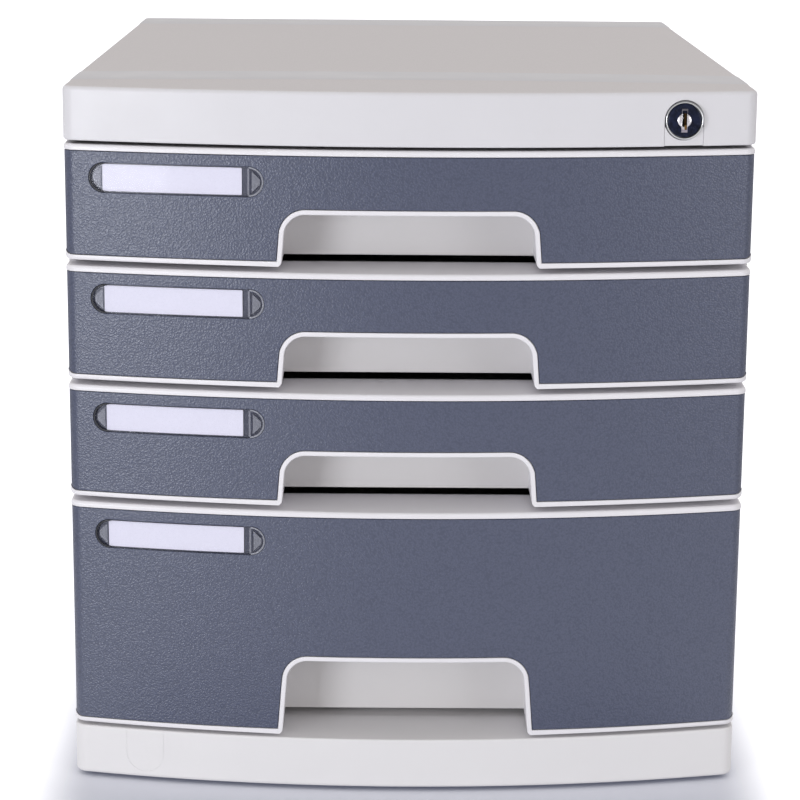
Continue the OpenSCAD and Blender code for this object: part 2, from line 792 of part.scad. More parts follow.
// The bar that a quarter turn of the key lowers, shown raised
module lock_bar() {
    slot_h = crank_pin_d + 2 * slot_play;
    slot_from = lock_x + crank_x - slot_h / 2;
    slot_to = lock_x + crank_r + slot_h / 2;
    color([0.74, 0.75, 0.77]) difference() {
        union() {
            block([bar_in, bar_y, bar_bottom_z], [bar_out, bar_back_y, arm_z + arm_h / 2]);
            block([bar_in, min(arm_y, bar_y), arm_z - arm_h / 2],
                  [bar_out, bar_back_y, arm_z + arm_h / 2]);
            block([slot_from - arm_end, arm_y, arm_z - arm_h / 2],
                  [bar_out, arm_y + arm_t, arm_z + arm_h / 2]);
        }
        for (i = drawers)
            block([bar_in - over, bar_y - over, tray_top(i) - tab_h - notch_gap],
                  [tab_tip + bar_gap, bar_back_y + over, tray_top(i) + notch_gap]);
        block([slot_from, arm_y - over, arm_z - slot_h / 2],
              [slot_to, arm_y + arm_t + over, arm_z + slot_h / 2]);
    }
}

// ---- drawers ----

function screw_rows(i) = [for (k = [0:(i == deep ? 1 : 0)])
    front_top(i) - front_screw_drop - k * front_row_pitch];
front_screw_xs = [for (s = [-1, 1], x = [pull_half + front_screw_in,
                                        tray_half - front_screw_from_tray]) s * x];

module drawer_tray(i) {
    z = tray_z(i);
    top = tray_top(i);
    color(tray_grey) difference() {
        union() {
            difference() {
                block([-tray_half, front_back_y, z], [tray_half, tray_back_y, top]);
                block([-tray_half + tray_t, plate_back_y, z + tray_t],
                      [tray_half - tray_t, tray_back_y - tray_t, top + over]);
            }
            block([-plate_half, front_back_y, z], [plate_half, plate_back_y, front_top(i) - plate_drop]);
            for (s = [0, 1]) mirror([s, 0, 0]) {
                block([tray_half - over, front_back_y, top - flange_t], [flange_half, flange_end_y, top]);
                block([tray_half, stop_tab_y, top - flange_t], [side_in - bar_gap, flange_end_y, top]);
            }
            block([flange_half - tray_t, tab_y, top - tab_h], [tab_tip, tab_y + tab_t, top]);
        }
        for (x = front_screw_xs, row = screw_rows(i))
            rod(x, row, front_back_y - over, plate_back_y + over, screw_d + 2 * screw_gap);
    }
}

module drawer_front(i) {
    z = front_z(i);
    color(shell_grey) difference() {
        union() {
            difference() {
                translate([0, 0, z]) linear_extrude(front_h(i)) bowed(0, front_back_y);
                translate([0, 0, z + front_floor_t])
                    linear_extrude(front_h(i) - front_floor_t - ledge_t)
                        bowed(hollow_in, front_back_y + over);
            }
            front_ribs(i);
        }
        upright(front_y - over, front_back_y + over) translate([0, z]) pull_shape(i, 0);
        panel_layer(i, -over, pocket_in, 0);
        for (x = front_screw_xs, row = screw_rows(i))
            rod(x, row, front_back_y - screw_l + plate_t - over, front_back_y + over, screw_d);
    }
}

// Ribs beside the finger pull and bosses for the screws, all ending inside the front wall
module front_ribs(i) {
    z = front_z(i);
    intersection() {
        translate([0, 0, z + 1]) linear_extrude(front_h(i) - 2) bowed(pocket_in + 1, front_back_y);
        union() {
            for (s = [0, 1]) mirror([s, 0, 0])
                block([pull_half, front_y, z], [pull_half + cheek_t, front_back_y, z + front_h(i)]);
            for (x = front_screw_xs, row = screw_rows(i))
                rod(x, row, front_y, front_back_y, boss_d);
        }
    }
}

module drawer_panel(i) {
    color(panel_blue) difference() {
        panel_layer(i, panel_sink, pocket_in, panel_gap);
        intersection() {
            layer(i, -over, label_floor_in, front_back_y);
            upright(front_y - over, front_back_y) window_view(i, window_gap);
        }
    }
}

module drawer_label_window(i) {
    color([0.85, 0.88, 0.92, 0.5]) intersection() {
        layer(i, window_in, card_in, front_back_y);
        upright(front_y - over, front_back_y) window_view(i, 0);
    }
}

module drawer_label_card(i) {
    color([0.95, 0.95, 0.97]) intersection() {
        layer(i, card_in, label_floor_in, front_back_y);
        upright(front_y - over, front_back_y) card_view(i);
    }
}

module drawer_screws(i) {
    color(zinc) for (x = front_screw_xs, row = screw_rows(i))
        translate([x, plate_back_y, row]) rotate([90, 0, 0]) screw();
}

top_cover();
base();
mirror([1, 0, 0]) side_panel(false);  // side_panel_left
side_panel(true);  // side_panel_right
back_panel();
foot(-foot_x, foot_ys[0]);  // foot_front_left
foot(foot_x, foot_ys[0]);  // foot_front_right
foot(-foot_x, foot_ys[1]);  // foot_rear_left
foot(foot_x, foot_ys[1]);  // foot_rear_right
cover_screws();
base_screws();
back_screws();
lock_insert();
lock_housing();
lock_nut();
lock_plug();
key_core();
lock_cam();
cam_screw();
lock_bar();
for (i = drawers) {
    drawer_tray(i);
    drawer_front(i);
    drawer_panel(i);
    drawer_label_window(i);
    drawer_label_card(i);
    drawer_screws(i);
}
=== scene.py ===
# %% [markdown]
# # A desktop file cabinet, dressed for a studio picture
#
# The cabinet is light grey plastic: a cover and a base with bowed fronts, and between them three shallow
# drawers over a deep one. Each drawer has a light grey front whose rim shows round an inlaid blue-grey panel.
# A key lock sits at the right of the cover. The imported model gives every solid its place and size, and this
# lesson models the visible pieces again with softer edges, and gives every surface its finish.

# %% Load the frame
import math

import bmesh
import bpy
from mathutils import Matrix, Vector


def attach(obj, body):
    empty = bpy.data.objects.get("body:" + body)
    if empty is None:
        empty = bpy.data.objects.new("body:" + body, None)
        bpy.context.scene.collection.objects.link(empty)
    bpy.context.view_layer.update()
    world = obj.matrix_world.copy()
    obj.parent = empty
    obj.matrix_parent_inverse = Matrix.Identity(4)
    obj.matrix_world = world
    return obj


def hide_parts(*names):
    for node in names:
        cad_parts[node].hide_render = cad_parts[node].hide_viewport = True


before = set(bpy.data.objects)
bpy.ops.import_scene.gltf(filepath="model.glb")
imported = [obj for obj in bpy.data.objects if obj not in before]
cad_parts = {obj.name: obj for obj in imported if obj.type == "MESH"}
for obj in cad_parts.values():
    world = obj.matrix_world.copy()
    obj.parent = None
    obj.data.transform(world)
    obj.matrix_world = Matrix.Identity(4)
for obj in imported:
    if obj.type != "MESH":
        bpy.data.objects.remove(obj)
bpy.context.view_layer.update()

# %% [markdown]
# Lengths below are in millimetres, as on a drawing. Blender's own unit is the metre, so the helpers that make
# or measure something multiply by MM. The few sizes here repeat those of the solids: the bow of the front is
# part of a circle seen from above, and every front piece follows it.

# %% The sizes that many pieces share
MM = 0.001
HALF_W = 151.0
FRONT_Y = -201.0
BACK_Y = 201.0
BOW_R = 634.0
CORNER_R = 5.0
FRONT_BACK_Y = -168.0
BEFORE_BACK_Y = -168.5
ON_FACE_Y = -200.9
BOWED_Y = -189.0
WALL = 3
INNER_BACK_Y = 198


def sag(x):
    """How far behind the middle of the bow its skin lies at a distance x to the side."""
    return BOW_R - math.sqrt(BOW_R * BOW_R - x * x)


print("the bow's ends lie", round(sag(HALF_W), 2), "mm behind its middle")

# %% [markdown]
# An operator acts on everything that is selected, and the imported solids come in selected. So each helper
# first picks the one piece that it works on. A box is the start of most pieces here: it is added as a cube,
# scaled to its two corners, and its scale is applied so that later bevels are even. Posts and bores are rods.

# %% Pick a piece, and add a box or a rod
def add_object(name, data):
    """A new object in the scene."""
    piece = bpy.data.objects.new(name, data)
    bpy.context.scene.collection.objects.link(piece)
    return piece


def pick(piece):
    """Makes one piece the only selected and the active one."""
    bpy.ops.object.select_all(action="DESELECT")
    piece.select_set(True)
    bpy.context.view_layer.objects.active = piece


def box(name, low, high):
    """A box from one corner to the other, in millimetres."""
    bpy.ops.object.select_all(action="DESELECT")
    middle = [(a + b) / 2 * MM for a, b in zip(low, high)]
    bpy.ops.mesh.primitive_cube_add(size=1, location=middle)
    piece = bpy.context.active_object
    piece.scale = [(b - a) * MM for a, b in zip(low, high)]
    bpy.ops.object.transform_apply(location=True, rotation=True, scale=True)
    piece.name = name
    return piece


def rod(name, place, radius, length, axis="Z", sides=32):
    """A round rod about the middle of its length."""
    bpy.ops.object.select_all(action="DESELECT")
    turn = (math.pi / 2, 0, 0) if axis == "Y" else (0, 0, 0)
    bpy.ops.mesh.primitive_cylinder_add(vertices=sides, radius=radius * MM, depth=length * MM,
                                        location=[v * MM for v in place], rotation=turn)
    piece = bpy.context.active_object
    bpy.ops.object.transform_apply(location=True, rotation=True, scale=True)
    piece.name = name
    return piece


# %% [markdown]
# In edit mode the edges and faces are chosen by where they are. A test gets the two ends of an edge, or the
# middle and the normal of a face, in millimetres.

# %% Choose edges and faces by their place
def choose(piece, kind, wanted):
    """Enters edit mode with those edges or faces selected that pass the test, and counts them."""
    pick(piece)
    bpy.ops.object.mode_set(mode="EDIT")
    bpy.ops.mesh.select_mode(type=kind)
    bpy.ops.mesh.select_all(action="DESELECT")
    mesh = bmesh.from_edit_mesh(piece.data)
    if kind == "EDGE":
        found = [e for e in mesh.edges if wanted(e.verts[0].co / MM, e.verts[1].co / MM)]
    else:
        found = [f for f in mesh.faces if wanted(f.calc_center_median() / MM, f.normal)]
    for item in found:
        item.select_set(True)
    bmesh.update_edit_mesh(piece.data)
    return len(found)


def round_edges(piece, wanted, width, steps):
    """Bevels the chosen edges to a round of that width."""
    count = choose(piece, "EDGE", wanted)
    if count:
        bpy.ops.mesh.bevel(offset=width * MM, offset_type="OFFSET", segments=steps, profile=0.5,
                           affect="EDGES", clamp_overlap=False)
    bpy.ops.object.mode_set(mode="OBJECT")
    return count


# %% [markdown]
# Walls, pockets and openings are cut with the Boolean modifier, which is applied at once, and the tool is
# thrown away. A Boolean leaves needless edges on flat faces, so a limited dissolve clears them. The edges
# that are left are the real ones, and a bevel can take them.

# %% Cut with a tool, and clear flat faces
DOUBLES = 0.002
FLAT_ANGLE = 0.3


def carve(piece, tool, mode="DIFFERENCE"):
    """Cuts a piece with a tool, or joins or intersects the two, and removes the tool."""
    pick(piece)
    modifier = piece.modifiers.new("tool", "BOOLEAN")
    modifier.operation = mode
    modifier.solver = "EXACT"
    modifier.object = tool
    bpy.ops.object.modifier_apply(modifier=modifier.name)
    bpy.data.objects.remove(tool, do_unlink=True)


def clear_flats(piece):
    """Merges doubles and dissolves the edges that lie inside flat faces."""
    pick(piece)
    bpy.ops.object.mode_set(mode="EDIT")
    bpy.ops.mesh.select_all(action="SELECT")
    bpy.ops.mesh.remove_doubles(threshold=DOUBLES * MM)
    bpy.ops.mesh.dissolve_limited(angle_limit=math.radians(FLAT_ANGLE))
    bpy.ops.object.mode_set(mode="OBJECT")


# %% [markdown]
# The bowed pieces are modelled with a flat front first, because bevels and cuts are simplest there. Then the
# mesh is bisected into narrow columns and each point of the front is moved back by the sag of the bow at its
# place. Blender's bend would fan the two sides out, but on the real cabinet they stay parallel.

# %% Turn a flat front into a bowed one
def bisect_at(piece, axis, places):
    """Cuts rings of edges round a piece, at those places along X, Y or Z (axis 0, 1 or 2)."""
    pick(piece)
    bpy.ops.object.mode_set(mode="EDIT")
    normal = [int(k == axis) for k in range(3)]
    for place in places:
        bpy.ops.mesh.select_all(action="SELECT")
        bpy.ops.mesh.bisect(plane_co=[n * place * MM for n in normal], plane_no=normal,
                            threshold=0.0002 * MM)
    bpy.ops.object.mode_set(mode="OBJECT")


def cut_columns(piece, count=48):
    """Cuts a piece into even columns across its width."""
    bisect_at(piece, 0, [HALF_W * (2 * k / count - 1) for k in range(1, count)])


def bow(piece):
    """Moves each point of the front skins back by the sag at its place."""
    for vertex in piece.data.vertices:
        if vertex.co.y < BOWED_Y * MM:
            vertex.co.y += sag(vertex.co.x / MM) * MM


# %% [markdown]
# A finished piece has clean outward normals, sharp edges kept sharp and rounds shaded smooth. Weighted
# normals keep the large faces flat beside small bevels. Then the piece is told which body it rides on and
# which solid it stands for.

# %% Finish a piece and put it on its body
def smooth(piece, angle=30):
    """Merges doubles, faces the normals outwards, and shades by angle with weighted normals."""
    pick(piece)
    bpy.ops.object.mode_set(mode="EDIT")
    bpy.ops.mesh.select_all(action="SELECT")
    bpy.ops.mesh.remove_doubles(threshold=0.001 * MM)
    bpy.ops.mesh.normals_make_consistent(inside=False)
    bpy.ops.object.mode_set(mode="OBJECT")
    bpy.ops.object.shade_smooth_by_angle(angle=math.radians(angle))
    weighted = piece.modifiers.new("weights", "WEIGHTED_NORMAL")
    weighted.keep_sharp = True
    bpy.ops.object.modifier_apply(modifier=weighted.name)
    return piece


def settle(piece, body, node=None):
    """Rides the piece on its body and lets it stand for a solid."""
    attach(piece, body)
    if node:
        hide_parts(node)
    print(f"{piece.name}: {len(piece.data.polygons)} faces, rides on {body}")


# %% [markdown]
# ## Finishes
#
# All patterns read Object coordinates, so they are tied to the place in the cabinet and not to the view.
# Small helpers start a material, add a noise pattern, map it onto a range, and turn it into a tint or bumps.

# %% Helpers for materials
def start_finish(name, colour, roughness, metallic=0.0):
    """A new material with its principled shader set to plain values."""
    material = bpy.data.materials.new(name)
    material.use_nodes = True
    tree = material.node_tree
    shader = tree.nodes["Principled BSDF"]
    shader.inputs["Base Color"].default_value = (*colour, 1)
    shader.inputs["Roughness"].default_value = roughness
    shader.inputs["Metallic"].default_value = metallic
    place = tree.nodes.new("ShaderNodeTexCoord")
    place.name = "Place"
    return material, tree, shader


def noise(tree, scale, detail=2.0, rough=0.5, output="Fac"):
    """A noise pattern on Object coordinates, with that many waves per metre."""
    node = tree.nodes.new("ShaderNodeTexNoise")
    node.inputs["Scale"].default_value = scale
    node.inputs["Detail"].default_value = detail
    node.inputs["Roughness"].default_value = rough
    tree.links.new(tree.nodes["Place"].outputs["Object"], node.inputs["Vector"])
    return node.outputs[output]


def spread(tree, source, low, high, from_low=0.3, from_high=0.7, curve="LINEAR"):
    """Maps a pattern onto a range of values."""
    node = tree.nodes.new("ShaderNodeMapRange")
    node.interpolation_type = curve
    node.inputs["From Min"].default_value = from_low
    node.inputs["From Max"].default_value = from_high
    node.inputs["To Min"].default_value = low
    node.inputs["To Max"].default_value = high
    tree.links.new(source, node.inputs["Value"])
    return node.outputs["Result"]


def clouds(tree, waves, detail=3):
    """A noise pattern mapped onto the range from 0 to 1."""
    return spread(tree, noise(tree, waves, detail), 0, 1)


def feed(tree, node, *sources):
    """Fills a node's inputs in order, each from another node's output or with a plain value."""
    for source, socket in zip(sources, node.inputs):
        if isinstance(source, bpy.types.NodeSocket):
            tree.links.new(source, socket)
        else:
            socket.default_value = source


def combine(tree, kind, operation, *sources):
    """The result of a Math or a VectorMath node."""
    node = tree.nodes.new(f"ShaderNode{kind}")
    node.operation = operation
    feed(tree, node, *sources)
    return node.outputs["Vector" if kind == "VectorMath" and operation != "LENGTH" else "Value"]


def blend(tree, source, first, second, socket):
    """Colours a socket between two colours by a pattern."""
    node = tree.nodes.new("ShaderNodeMix")
    node.data_type = "RGBA"
    node.inputs["A"].default_value = (*first, 1)
    node.inputs["B"].default_value = (*second, 1)
    tree.links.new(source, node.inputs["Factor"])
    tree.links.new(node.outputs["Result"], socket)


def tint(tree, shader, source, dark, light):
    """Colours the shader between two colours by a pattern."""
    blend(tree, source, dark, light, shader.inputs["Base Color"])


def bumps(tree, shader, source, height, after=None):
    """Raises a pattern by a height in millimetres, on top of earlier bumps."""
    node = tree.nodes.new("ShaderNodeBump")
    node.inputs["Strength"].default_value = 1.0
    node.inputs["Distance"].default_value = height * MM
    tree.links.new(source, node.inputs["Height"])
    if after:
        tree.links.new(after.outputs["Normal"], node.inputs["Normal"])
    tree.links.new(node.outputs["Normal"], shader.inputs["Normal"])
    return node


print("material helpers are ready")

# %% [markdown]
# The light grey plastic is moulded, satin and faintly uneven: a slow cloud changes its tone by a hundredth, a
# fine stipple breaks up the gloss, and the roughness wanders a little. The same recipe in other tones serves
# the trays and the side panels. The base takes the cover's plastic made lighter, as painted light for the
# glow that the floor bounces onto it.

# %% Moulded plastic
UNEVEN = 0.012


def moulded(name, colour, roughness=0.42, stipple=0.012):
    """Satin moulded plastic in one tone."""
    material, tree, shader = start_finish(name, colour, roughness)
    dark = [c * (1 - UNEVEN) for c in colour]
    light = [min(1, c * (1 + UNEVEN)) for c in colour]
    tint(tree, shader, clouds(tree, 22), dark, light)
    tree.links.new(spread(tree, noise(tree, 60, 2), roughness - 0.05, roughness + 0.05),
                   shader.inputs["Roughness"])
    bumps(tree, shader, noise(tree, 1500, 2, 0.6), stipple)
    shader.inputs["Specular IOR Level"].default_value = 0.4
    return material


white_plastic = moulded("moulded_light_grey", (0.755, 0.745, 0.77))
front_plastic = moulded("moulded_front_grey", (0.87, 0.855, 0.885), 0.36)
# painted light: the base is the cover's plastic made lighter, for the floor's bounce
base_plastic_painted_bounce = moulded("moulded_base_painted_bounce", (0.83, 0.817, 0.825))
tray_plastic = moulded("moulded_tray_grey", (0.77, 0.75, 0.745), 0.45)
band_plastic = moulded("moulded_smooth_band", (0.74, 0.735, 0.775), 0.4, 0.006)
print("plastics:", white_plastic.name, front_plastic.name, base_plastic_painted_bounce.name, tray_plastic.name,
      band_plastic.name)

# %% [markdown]
# The field of the cover between its smooth bands is grained: short, soft pebbles about half a millimetre
# wide. The tint paints shade into their small hollows, so the field looks a shade darker and warmer than the
# bands.

# %% Grained top
def grained_top():
    """The eroded grain on the cover's top."""
    material, tree, shader = start_finish("moulded_grained_top", (0.775, 0.745, 0.76), 0.55)
    fine = noise(tree, 1900, 3, 0.65)
    # painted shade: the tint darkens the hollows of the grain
    tint(tree, shader, spread(tree, fine, 0, 1), (0.735, 0.705, 0.72), (0.815, 0.785, 0.80))
    bumps(tree, shader, fine, 0.05)
    shader.inputs["Specular IOR Level"].default_value = 0.35
    return material


top_grain = grained_top()
print("grain:", top_grain.name)

# %% [markdown]
# The inlaid panels have a leather grain: pebbles under a millimetre wide with creases between them, glossy on
# top. A smooth Voronoi pattern that a noise bends gives pebbles of uneven shape, and a finer noise keeps the
# tops from looking like tiles. The bumps are low, so a lamp still makes a broad sheen where the bow faces it.
# The tint paints the pebble tops lighter and the creases darker, a painted highlight and painted shade.

# %% Leather grain of the panels
def leather_grain():
    """Blue-grey plastic with a leather grain, its pebble tops painted light and its creases painted shade."""
    material, tree, shader = start_finish("grained_panel_blue_grey", (0.066, 0.078, 0.133), 0.3)
    place = tree.nodes["Place"].outputs["Object"]
    bend = noise(tree, 900, output="Color")
    bent = combine(tree, "VectorMath", "MULTIPLY_ADD", bend, (0.0009, 0.0009, 0.0009), place)
    cells = tree.nodes.new("ShaderNodeTexVoronoi")
    cells.feature = "SMOOTH_F1"
    cells.inputs["Scale"].default_value = 1180
    cells.inputs["Smoothness"].default_value = 0.4
    tree.links.new(bent, cells.inputs["Vector"])
    pebbles = spread(tree, cells.outputs["Distance"], 1, 0, 0.1, 0.75)
    first = bumps(tree, shader, pebbles, 0.095)
    bumps(tree, shader, noise(tree, 2300, 2), 0.02, after=first)
    # painted highlight and shade: pebble tops tinted lighter, creases darker
    tint(tree, shader, pebbles, (0.041, 0.051, 0.097), (0.072, 0.086, 0.149))
    tree.links.new(spread(tree, pebbles, 0.42, 0.26, 0, 1), shader.inputs["Roughness"])
    shader.inputs["Specular IOR Level"].default_value = 0.78
    return material


def smooth_inlay_painted_shade():
    """The panel's smooth plastic on the floor of a label recess, painted darker as the recess's shade."""
    # smooth plastic, and painted shade: darker than the grained panel
    material, tree, shader = start_finish("smooth_panel_painted_shade", (0.055, 0.06, 0.09), 0.3)
    tint(tree, shader, clouds(tree, 300), (0.05, 0.055, 0.083), (0.06, 0.066, 0.098))
    return material


panel_grain = leather_grain()
recess_floor_painted_shade = smooth_inlay_painted_shade()
print("grain:", panel_grain.name, "and smooth:", recess_floor_painted_shade.name)

# %% [markdown]
# Metal, paper and rubber. Zinc plate and the painted lock bar are rough metals with a faint streak, chrome is
# nearly a mirror, the key core is nickelled over bronze, and the card is plain paper with a fibre so fine
# that it only softens its gloss.

# %% Metals
def metal(name, colour, roughness, streak, waves=400):
    """A metal whose roughness wanders with a fine pattern."""
    material, tree, shader = start_finish(name, colour, roughness, 1.0)
    pattern = noise(tree, waves, 3)
    tree.links.new(spread(tree, pattern, roughness - streak, roughness + streak),
                   shader.inputs["Roughness"])
    tint(tree, shader, clouds(tree, waves / 8, 2),
         [c * 0.94 for c in colour], [min(1, c * 1.04) for c in colour])
    return material


chrome = metal("polished_chrome", (0.62, 0.63, 0.64), 0.1, 0.03, 900)
nickel = metal("nickelled_core", (0.66, 0.64, 0.66), 0.24, 0.06, 900)
zinc = metal("zinc_plate", (0.62, 0.64, 0.66), 0.36, 0.1)
bronze = metal("oiled_bronze", (0.22, 0.125, 0.045), 0.36, 0.08, 1200)
# painted shade: a darkened copy of the bronze, for the ward deep in the slot
bronze_painted_shade = metal("oiled_bronze_painted_shade", (0.075, 0.042, 0.016), 0.4, 0.08, 1200)
# painted shade and painted light: one frame metal, darker above and paler below
frame_painted_shade = metal("keyway_frame_painted_shade", (0.15, 0.145, 0.165), 0.3, 0.06, 1200)
frame_painted_light = metal("keyway_frame_painted_light", (0.40, 0.37, 0.43), 0.3, 0.06, 1200)
bar_steel = metal("plated_bar", (0.66, 0.67, 0.69), 0.42, 0.08)
print("metals:", chrome.name, nickel.name, zinc.name, bronze.name, frame_painted_shade.name, bar_steel.name)


# %% Dark enamel, paper and rubber
def enamel():
    """The lock's polished navy face."""
    material, tree, shader = start_finish("navy_enamel", (0.008, 0.011, 0.03), 0.2)
    tint(tree, shader, clouds(tree, 500), (0.004, 0.006, 0.016), (0.012, 0.017, 0.045))
    tree.links.new(spread(tree, noise(tree, 700, 3), 0.12, 0.3), shader.inputs["Roughness"])
    shader.inputs["Specular IOR Level"].default_value = 0.16
    return material


def keyway_shade_finish():
    """Dark brown metal inside the key slot, painted near black as the shade of the deep slot."""
    material, tree, shader = start_finish("keyway_painted_shade", (0.02, 0.012, 0.006), 0.5)
    tint(tree, shader, clouds(tree, 800), (0.01, 0.006, 0.003), (0.045, 0.026, 0.01))
    return material


def paper():
    """Bare white card."""
    material, tree, shader = start_finish("card_paper", (0.84, 0.83, 0.93), 0.7)
    tint(tree, shader, clouds(tree, 900, 4), (0.825, 0.815, 0.915), (0.855, 0.845, 0.945))
    bumps(tree, shader, noise(tree, 2500, 3), 0.01)
    return material


def foot_rubber():
    """Matt dark rubber."""
    material, tree, shader = start_finish("foot_rubber", (0.03, 0.03, 0.032), 0.75)
    tint(tree, shader, clouds(tree, 300), (0.024, 0.024, 0.026), (0.04, 0.04, 0.043))
    bumps(tree, shader, noise(tree, 1200, 3), 0.03)
    return material


navy = enamel()
slot_painted_shade = keyway_shade_finish()
card_paper = paper()
rubber = foot_rubber()
print("others:", navy.name, card_paper.name, rubber.name)


# %% [markdown]
# Clear plastic is mostly seen through. A thin window in a renderer that traces shadows would darken the card
# behind it, so the material lets light straight through and adds only a reflection that grows at a slant. The
# growth is taken from the facing, the same from both sides, because Fresnel would shut in slanting light.

# %% Clear plastic
def clear_plastic(name, tone, veil, veil_tone=(0.75, 0.77, 0.85)):
    """See-through plastic with a reflection on top, and a share of it made milky."""
    material, tree, shader = start_finish(name, veil_tone, 0.4)
    tint(tree, shader, clouds(tree, 600), [c * 0.85 for c in veil_tone], veil_tone)
    through = tree.nodes.new("ShaderNodeBsdfTransparent")
    through.inputs["Color"].default_value = (*tone, 1)
    milky = tree.nodes.new("ShaderNodeMixShader")
    feed(tree, milky, veil, through.outputs["BSDF"], shader.outputs["BSDF"])
    gloss = tree.nodes.new("ShaderNodeBsdfGlossy")
    gloss.inputs["Roughness"].default_value = 0.08
    edge = tree.nodes.new("ShaderNodeLayerWeight")
    edge.inputs["Blend"].default_value = 0.5
    slant = spread(tree, combine(tree, "Math", "POWER", edge.outputs["Facing"], 4.0), 0.004, 0.5, 0, 1)
    top = tree.nodes.new("ShaderNodeMixShader")
    feed(tree, top, slant, milky.outputs["Shader"], gloss.outputs["BSDF"])
    tree.links.new(top.outputs["Shader"], tree.nodes["Material Output"].inputs["Surface"])
    return material


window_clear = clear_plastic("clear_window_plastic", (0.99, 0.99, 1.0), 0.0)
window_pad = clear_plastic("milky_window_pad", (0.9, 0.9, 0.95), 0.26)
# painted shade and a painted highlight for the two ends of the window's rim
window_painted_shade = clear_plastic("window_edge_painted_shade", (0.2, 0.2, 0.25), 0.8, (0.012, 0.013, 0.02))
window_painted_highlight = clear_plastic("window_edge_painted_highlight", (0.9, 0.9, 0.95), 0.42)
print("clear:", window_clear.name, window_pad.name, window_painted_shade.name, window_painted_highlight.name)


def give(piece, *materials):
    """Fills a piece's material slots in order."""
    piece.data.materials.clear()
    for material in materials:
        piece.data.materials.append(material)


# %% [markdown]
# ## Drawer fronts
#
# A drawer front is one moulding: a bowed skin with an open back, a rim that shows all round the panel, and an
# opening at the bottom that fingers reach into. The outline is a box whose upright front edges are rounded,
# and an opening is a prism with leaning sides and round top corners. Both are needed at several sizes.

# %% Upright outline and finger opening
OPENING_HALF = 55.4
OPENING_LEAN = 4.5
OPENING_R = 9.3


def upright_box(name, inset, low_z, high_z, back_y):
    """A box with round upright front edges, a distance inside the outer skin."""
    half = HALF_W - inset
    front = FRONT_Y + inset
    piece = box(name, (-half, front, low_z), (half, back_y, high_z))
    radius = CORNER_R - inset
    if radius > 0.2:
        round_edges(piece, lambda a, b: abs(a.z - b.z) > 1 and a.y < front + 1 and b.y < front + 1,
                    radius, 10)
    return piece


def opening_prism(name, height, z, grow=0.0):
    """The finger opening as a solid, grown all round."""
    lean = math.tan(math.radians(OPENING_LEAN))
    high = height + grow
    half = OPENING_HALF + grow / math.cos(math.radians(OPENING_LEAN))
    over = 6.0
    low_half = half + over * lean
    piece = box(name, (-low_half, -215, z - over), (low_half, -150, z + high))
    choose(piece, "FACE", lambda c, n: n.z > 0.9)
    bpy.ops.transform.resize(value=((half - high * lean) / low_half, 1, 1),
                             center_override=(0, -0.18, (z + high) * MM))
    bpy.ops.object.mode_set(mode="OBJECT")
    radius = (OPENING_R + grow) * math.tan(math.radians((90 - OPENING_LEAN) / 2))
    round_edges(piece, lambda a, b: abs(a.y - b.y) > 1 and a.z > z + high - 0.1 and b.z > z + high - 0.1,
                radius, 14)
    return piece


# %% [markdown]
# The panel and the pocket that it lies in are the same shape at two sizes: a skin between two distances in
# from the face, cut off above and below, with round lower corners at the sides and the finger opening left
# out. One helper makes both, so the gap between them is even.

# %% Skin of a front
RIM_BELOW = 2.3
RIM_ABOVE = 2.6
RIM_ROUND_OPENING = 2.1
SKIN_CORNER_R = 3.5
NEAR = 0.06


def skin(name, outer, inner, z, height, opening, gap):
    """The layer of a front that its panel takes up, shrunk all round by a gap."""
    low = z + RIM_BELOW + gap
    high = z + height - RIM_ABOVE - gap
    piece = upright_box(name, outer, low - 4, high + 4, -171 - gap)
    view = box("view", (gap - 151.5, -230, low), (151.5 - gap, -150, high))
    round_edges(view, lambda a, b: abs(a.y - b.y) > 1 and a.z < low + 0.1 and b.z < low + 0.1,
                SKIN_CORNER_R, 8)
    carve(piece, view, mode="INTERSECT")
    carve(piece, upright_box("core", inner, low - 8, high + 8, -140))
    carve(piece, opening_prism("opening", opening, z, RIM_ROUND_OPENING + gap))
    return piece


def on_outline(point, inset=0.0):
    """True if a point lies on the outline of the flat front, seen from above."""
    half = HALF_W - inset
    front = FRONT_Y + inset
    radius = CORNER_R - inset
    x = abs(point.x)
    if x <= half - radius:
        return abs(point.y - front) < NEAR
    if point.y >= front + radius:
        return abs(x - half) < NEAR
    return abs(math.hypot(x - half + radius, point.y - front - radius) - radius) < NEAR


# %% [markdown]
# The moulding starts as the outline, loses its hollow, and gets the two cheeks beside the opening. Then the
# opening and the pocket are cut, the edges are rounded, and the bosses for the screws are joined on. The
# outer edges are soft, about one and a half millimetres, and the edges next to the panel are crisp. The soft
# round takes in the straight sides too: one that ends where the arc begins runs off it as a thin spike.

# %% Model a front moulding
SCREW_XS = (-119.4, -69.4, 69.4, 119.4)
FRONT_WALL = 4.4
CHEEK_OUT = 57.9
POCKET = 2.4
OUTER_ROUND = 1.4
OPENING_ROUND = 0.6
RIM_ROUND = 0.2
FOOT_ROUND = 1.95


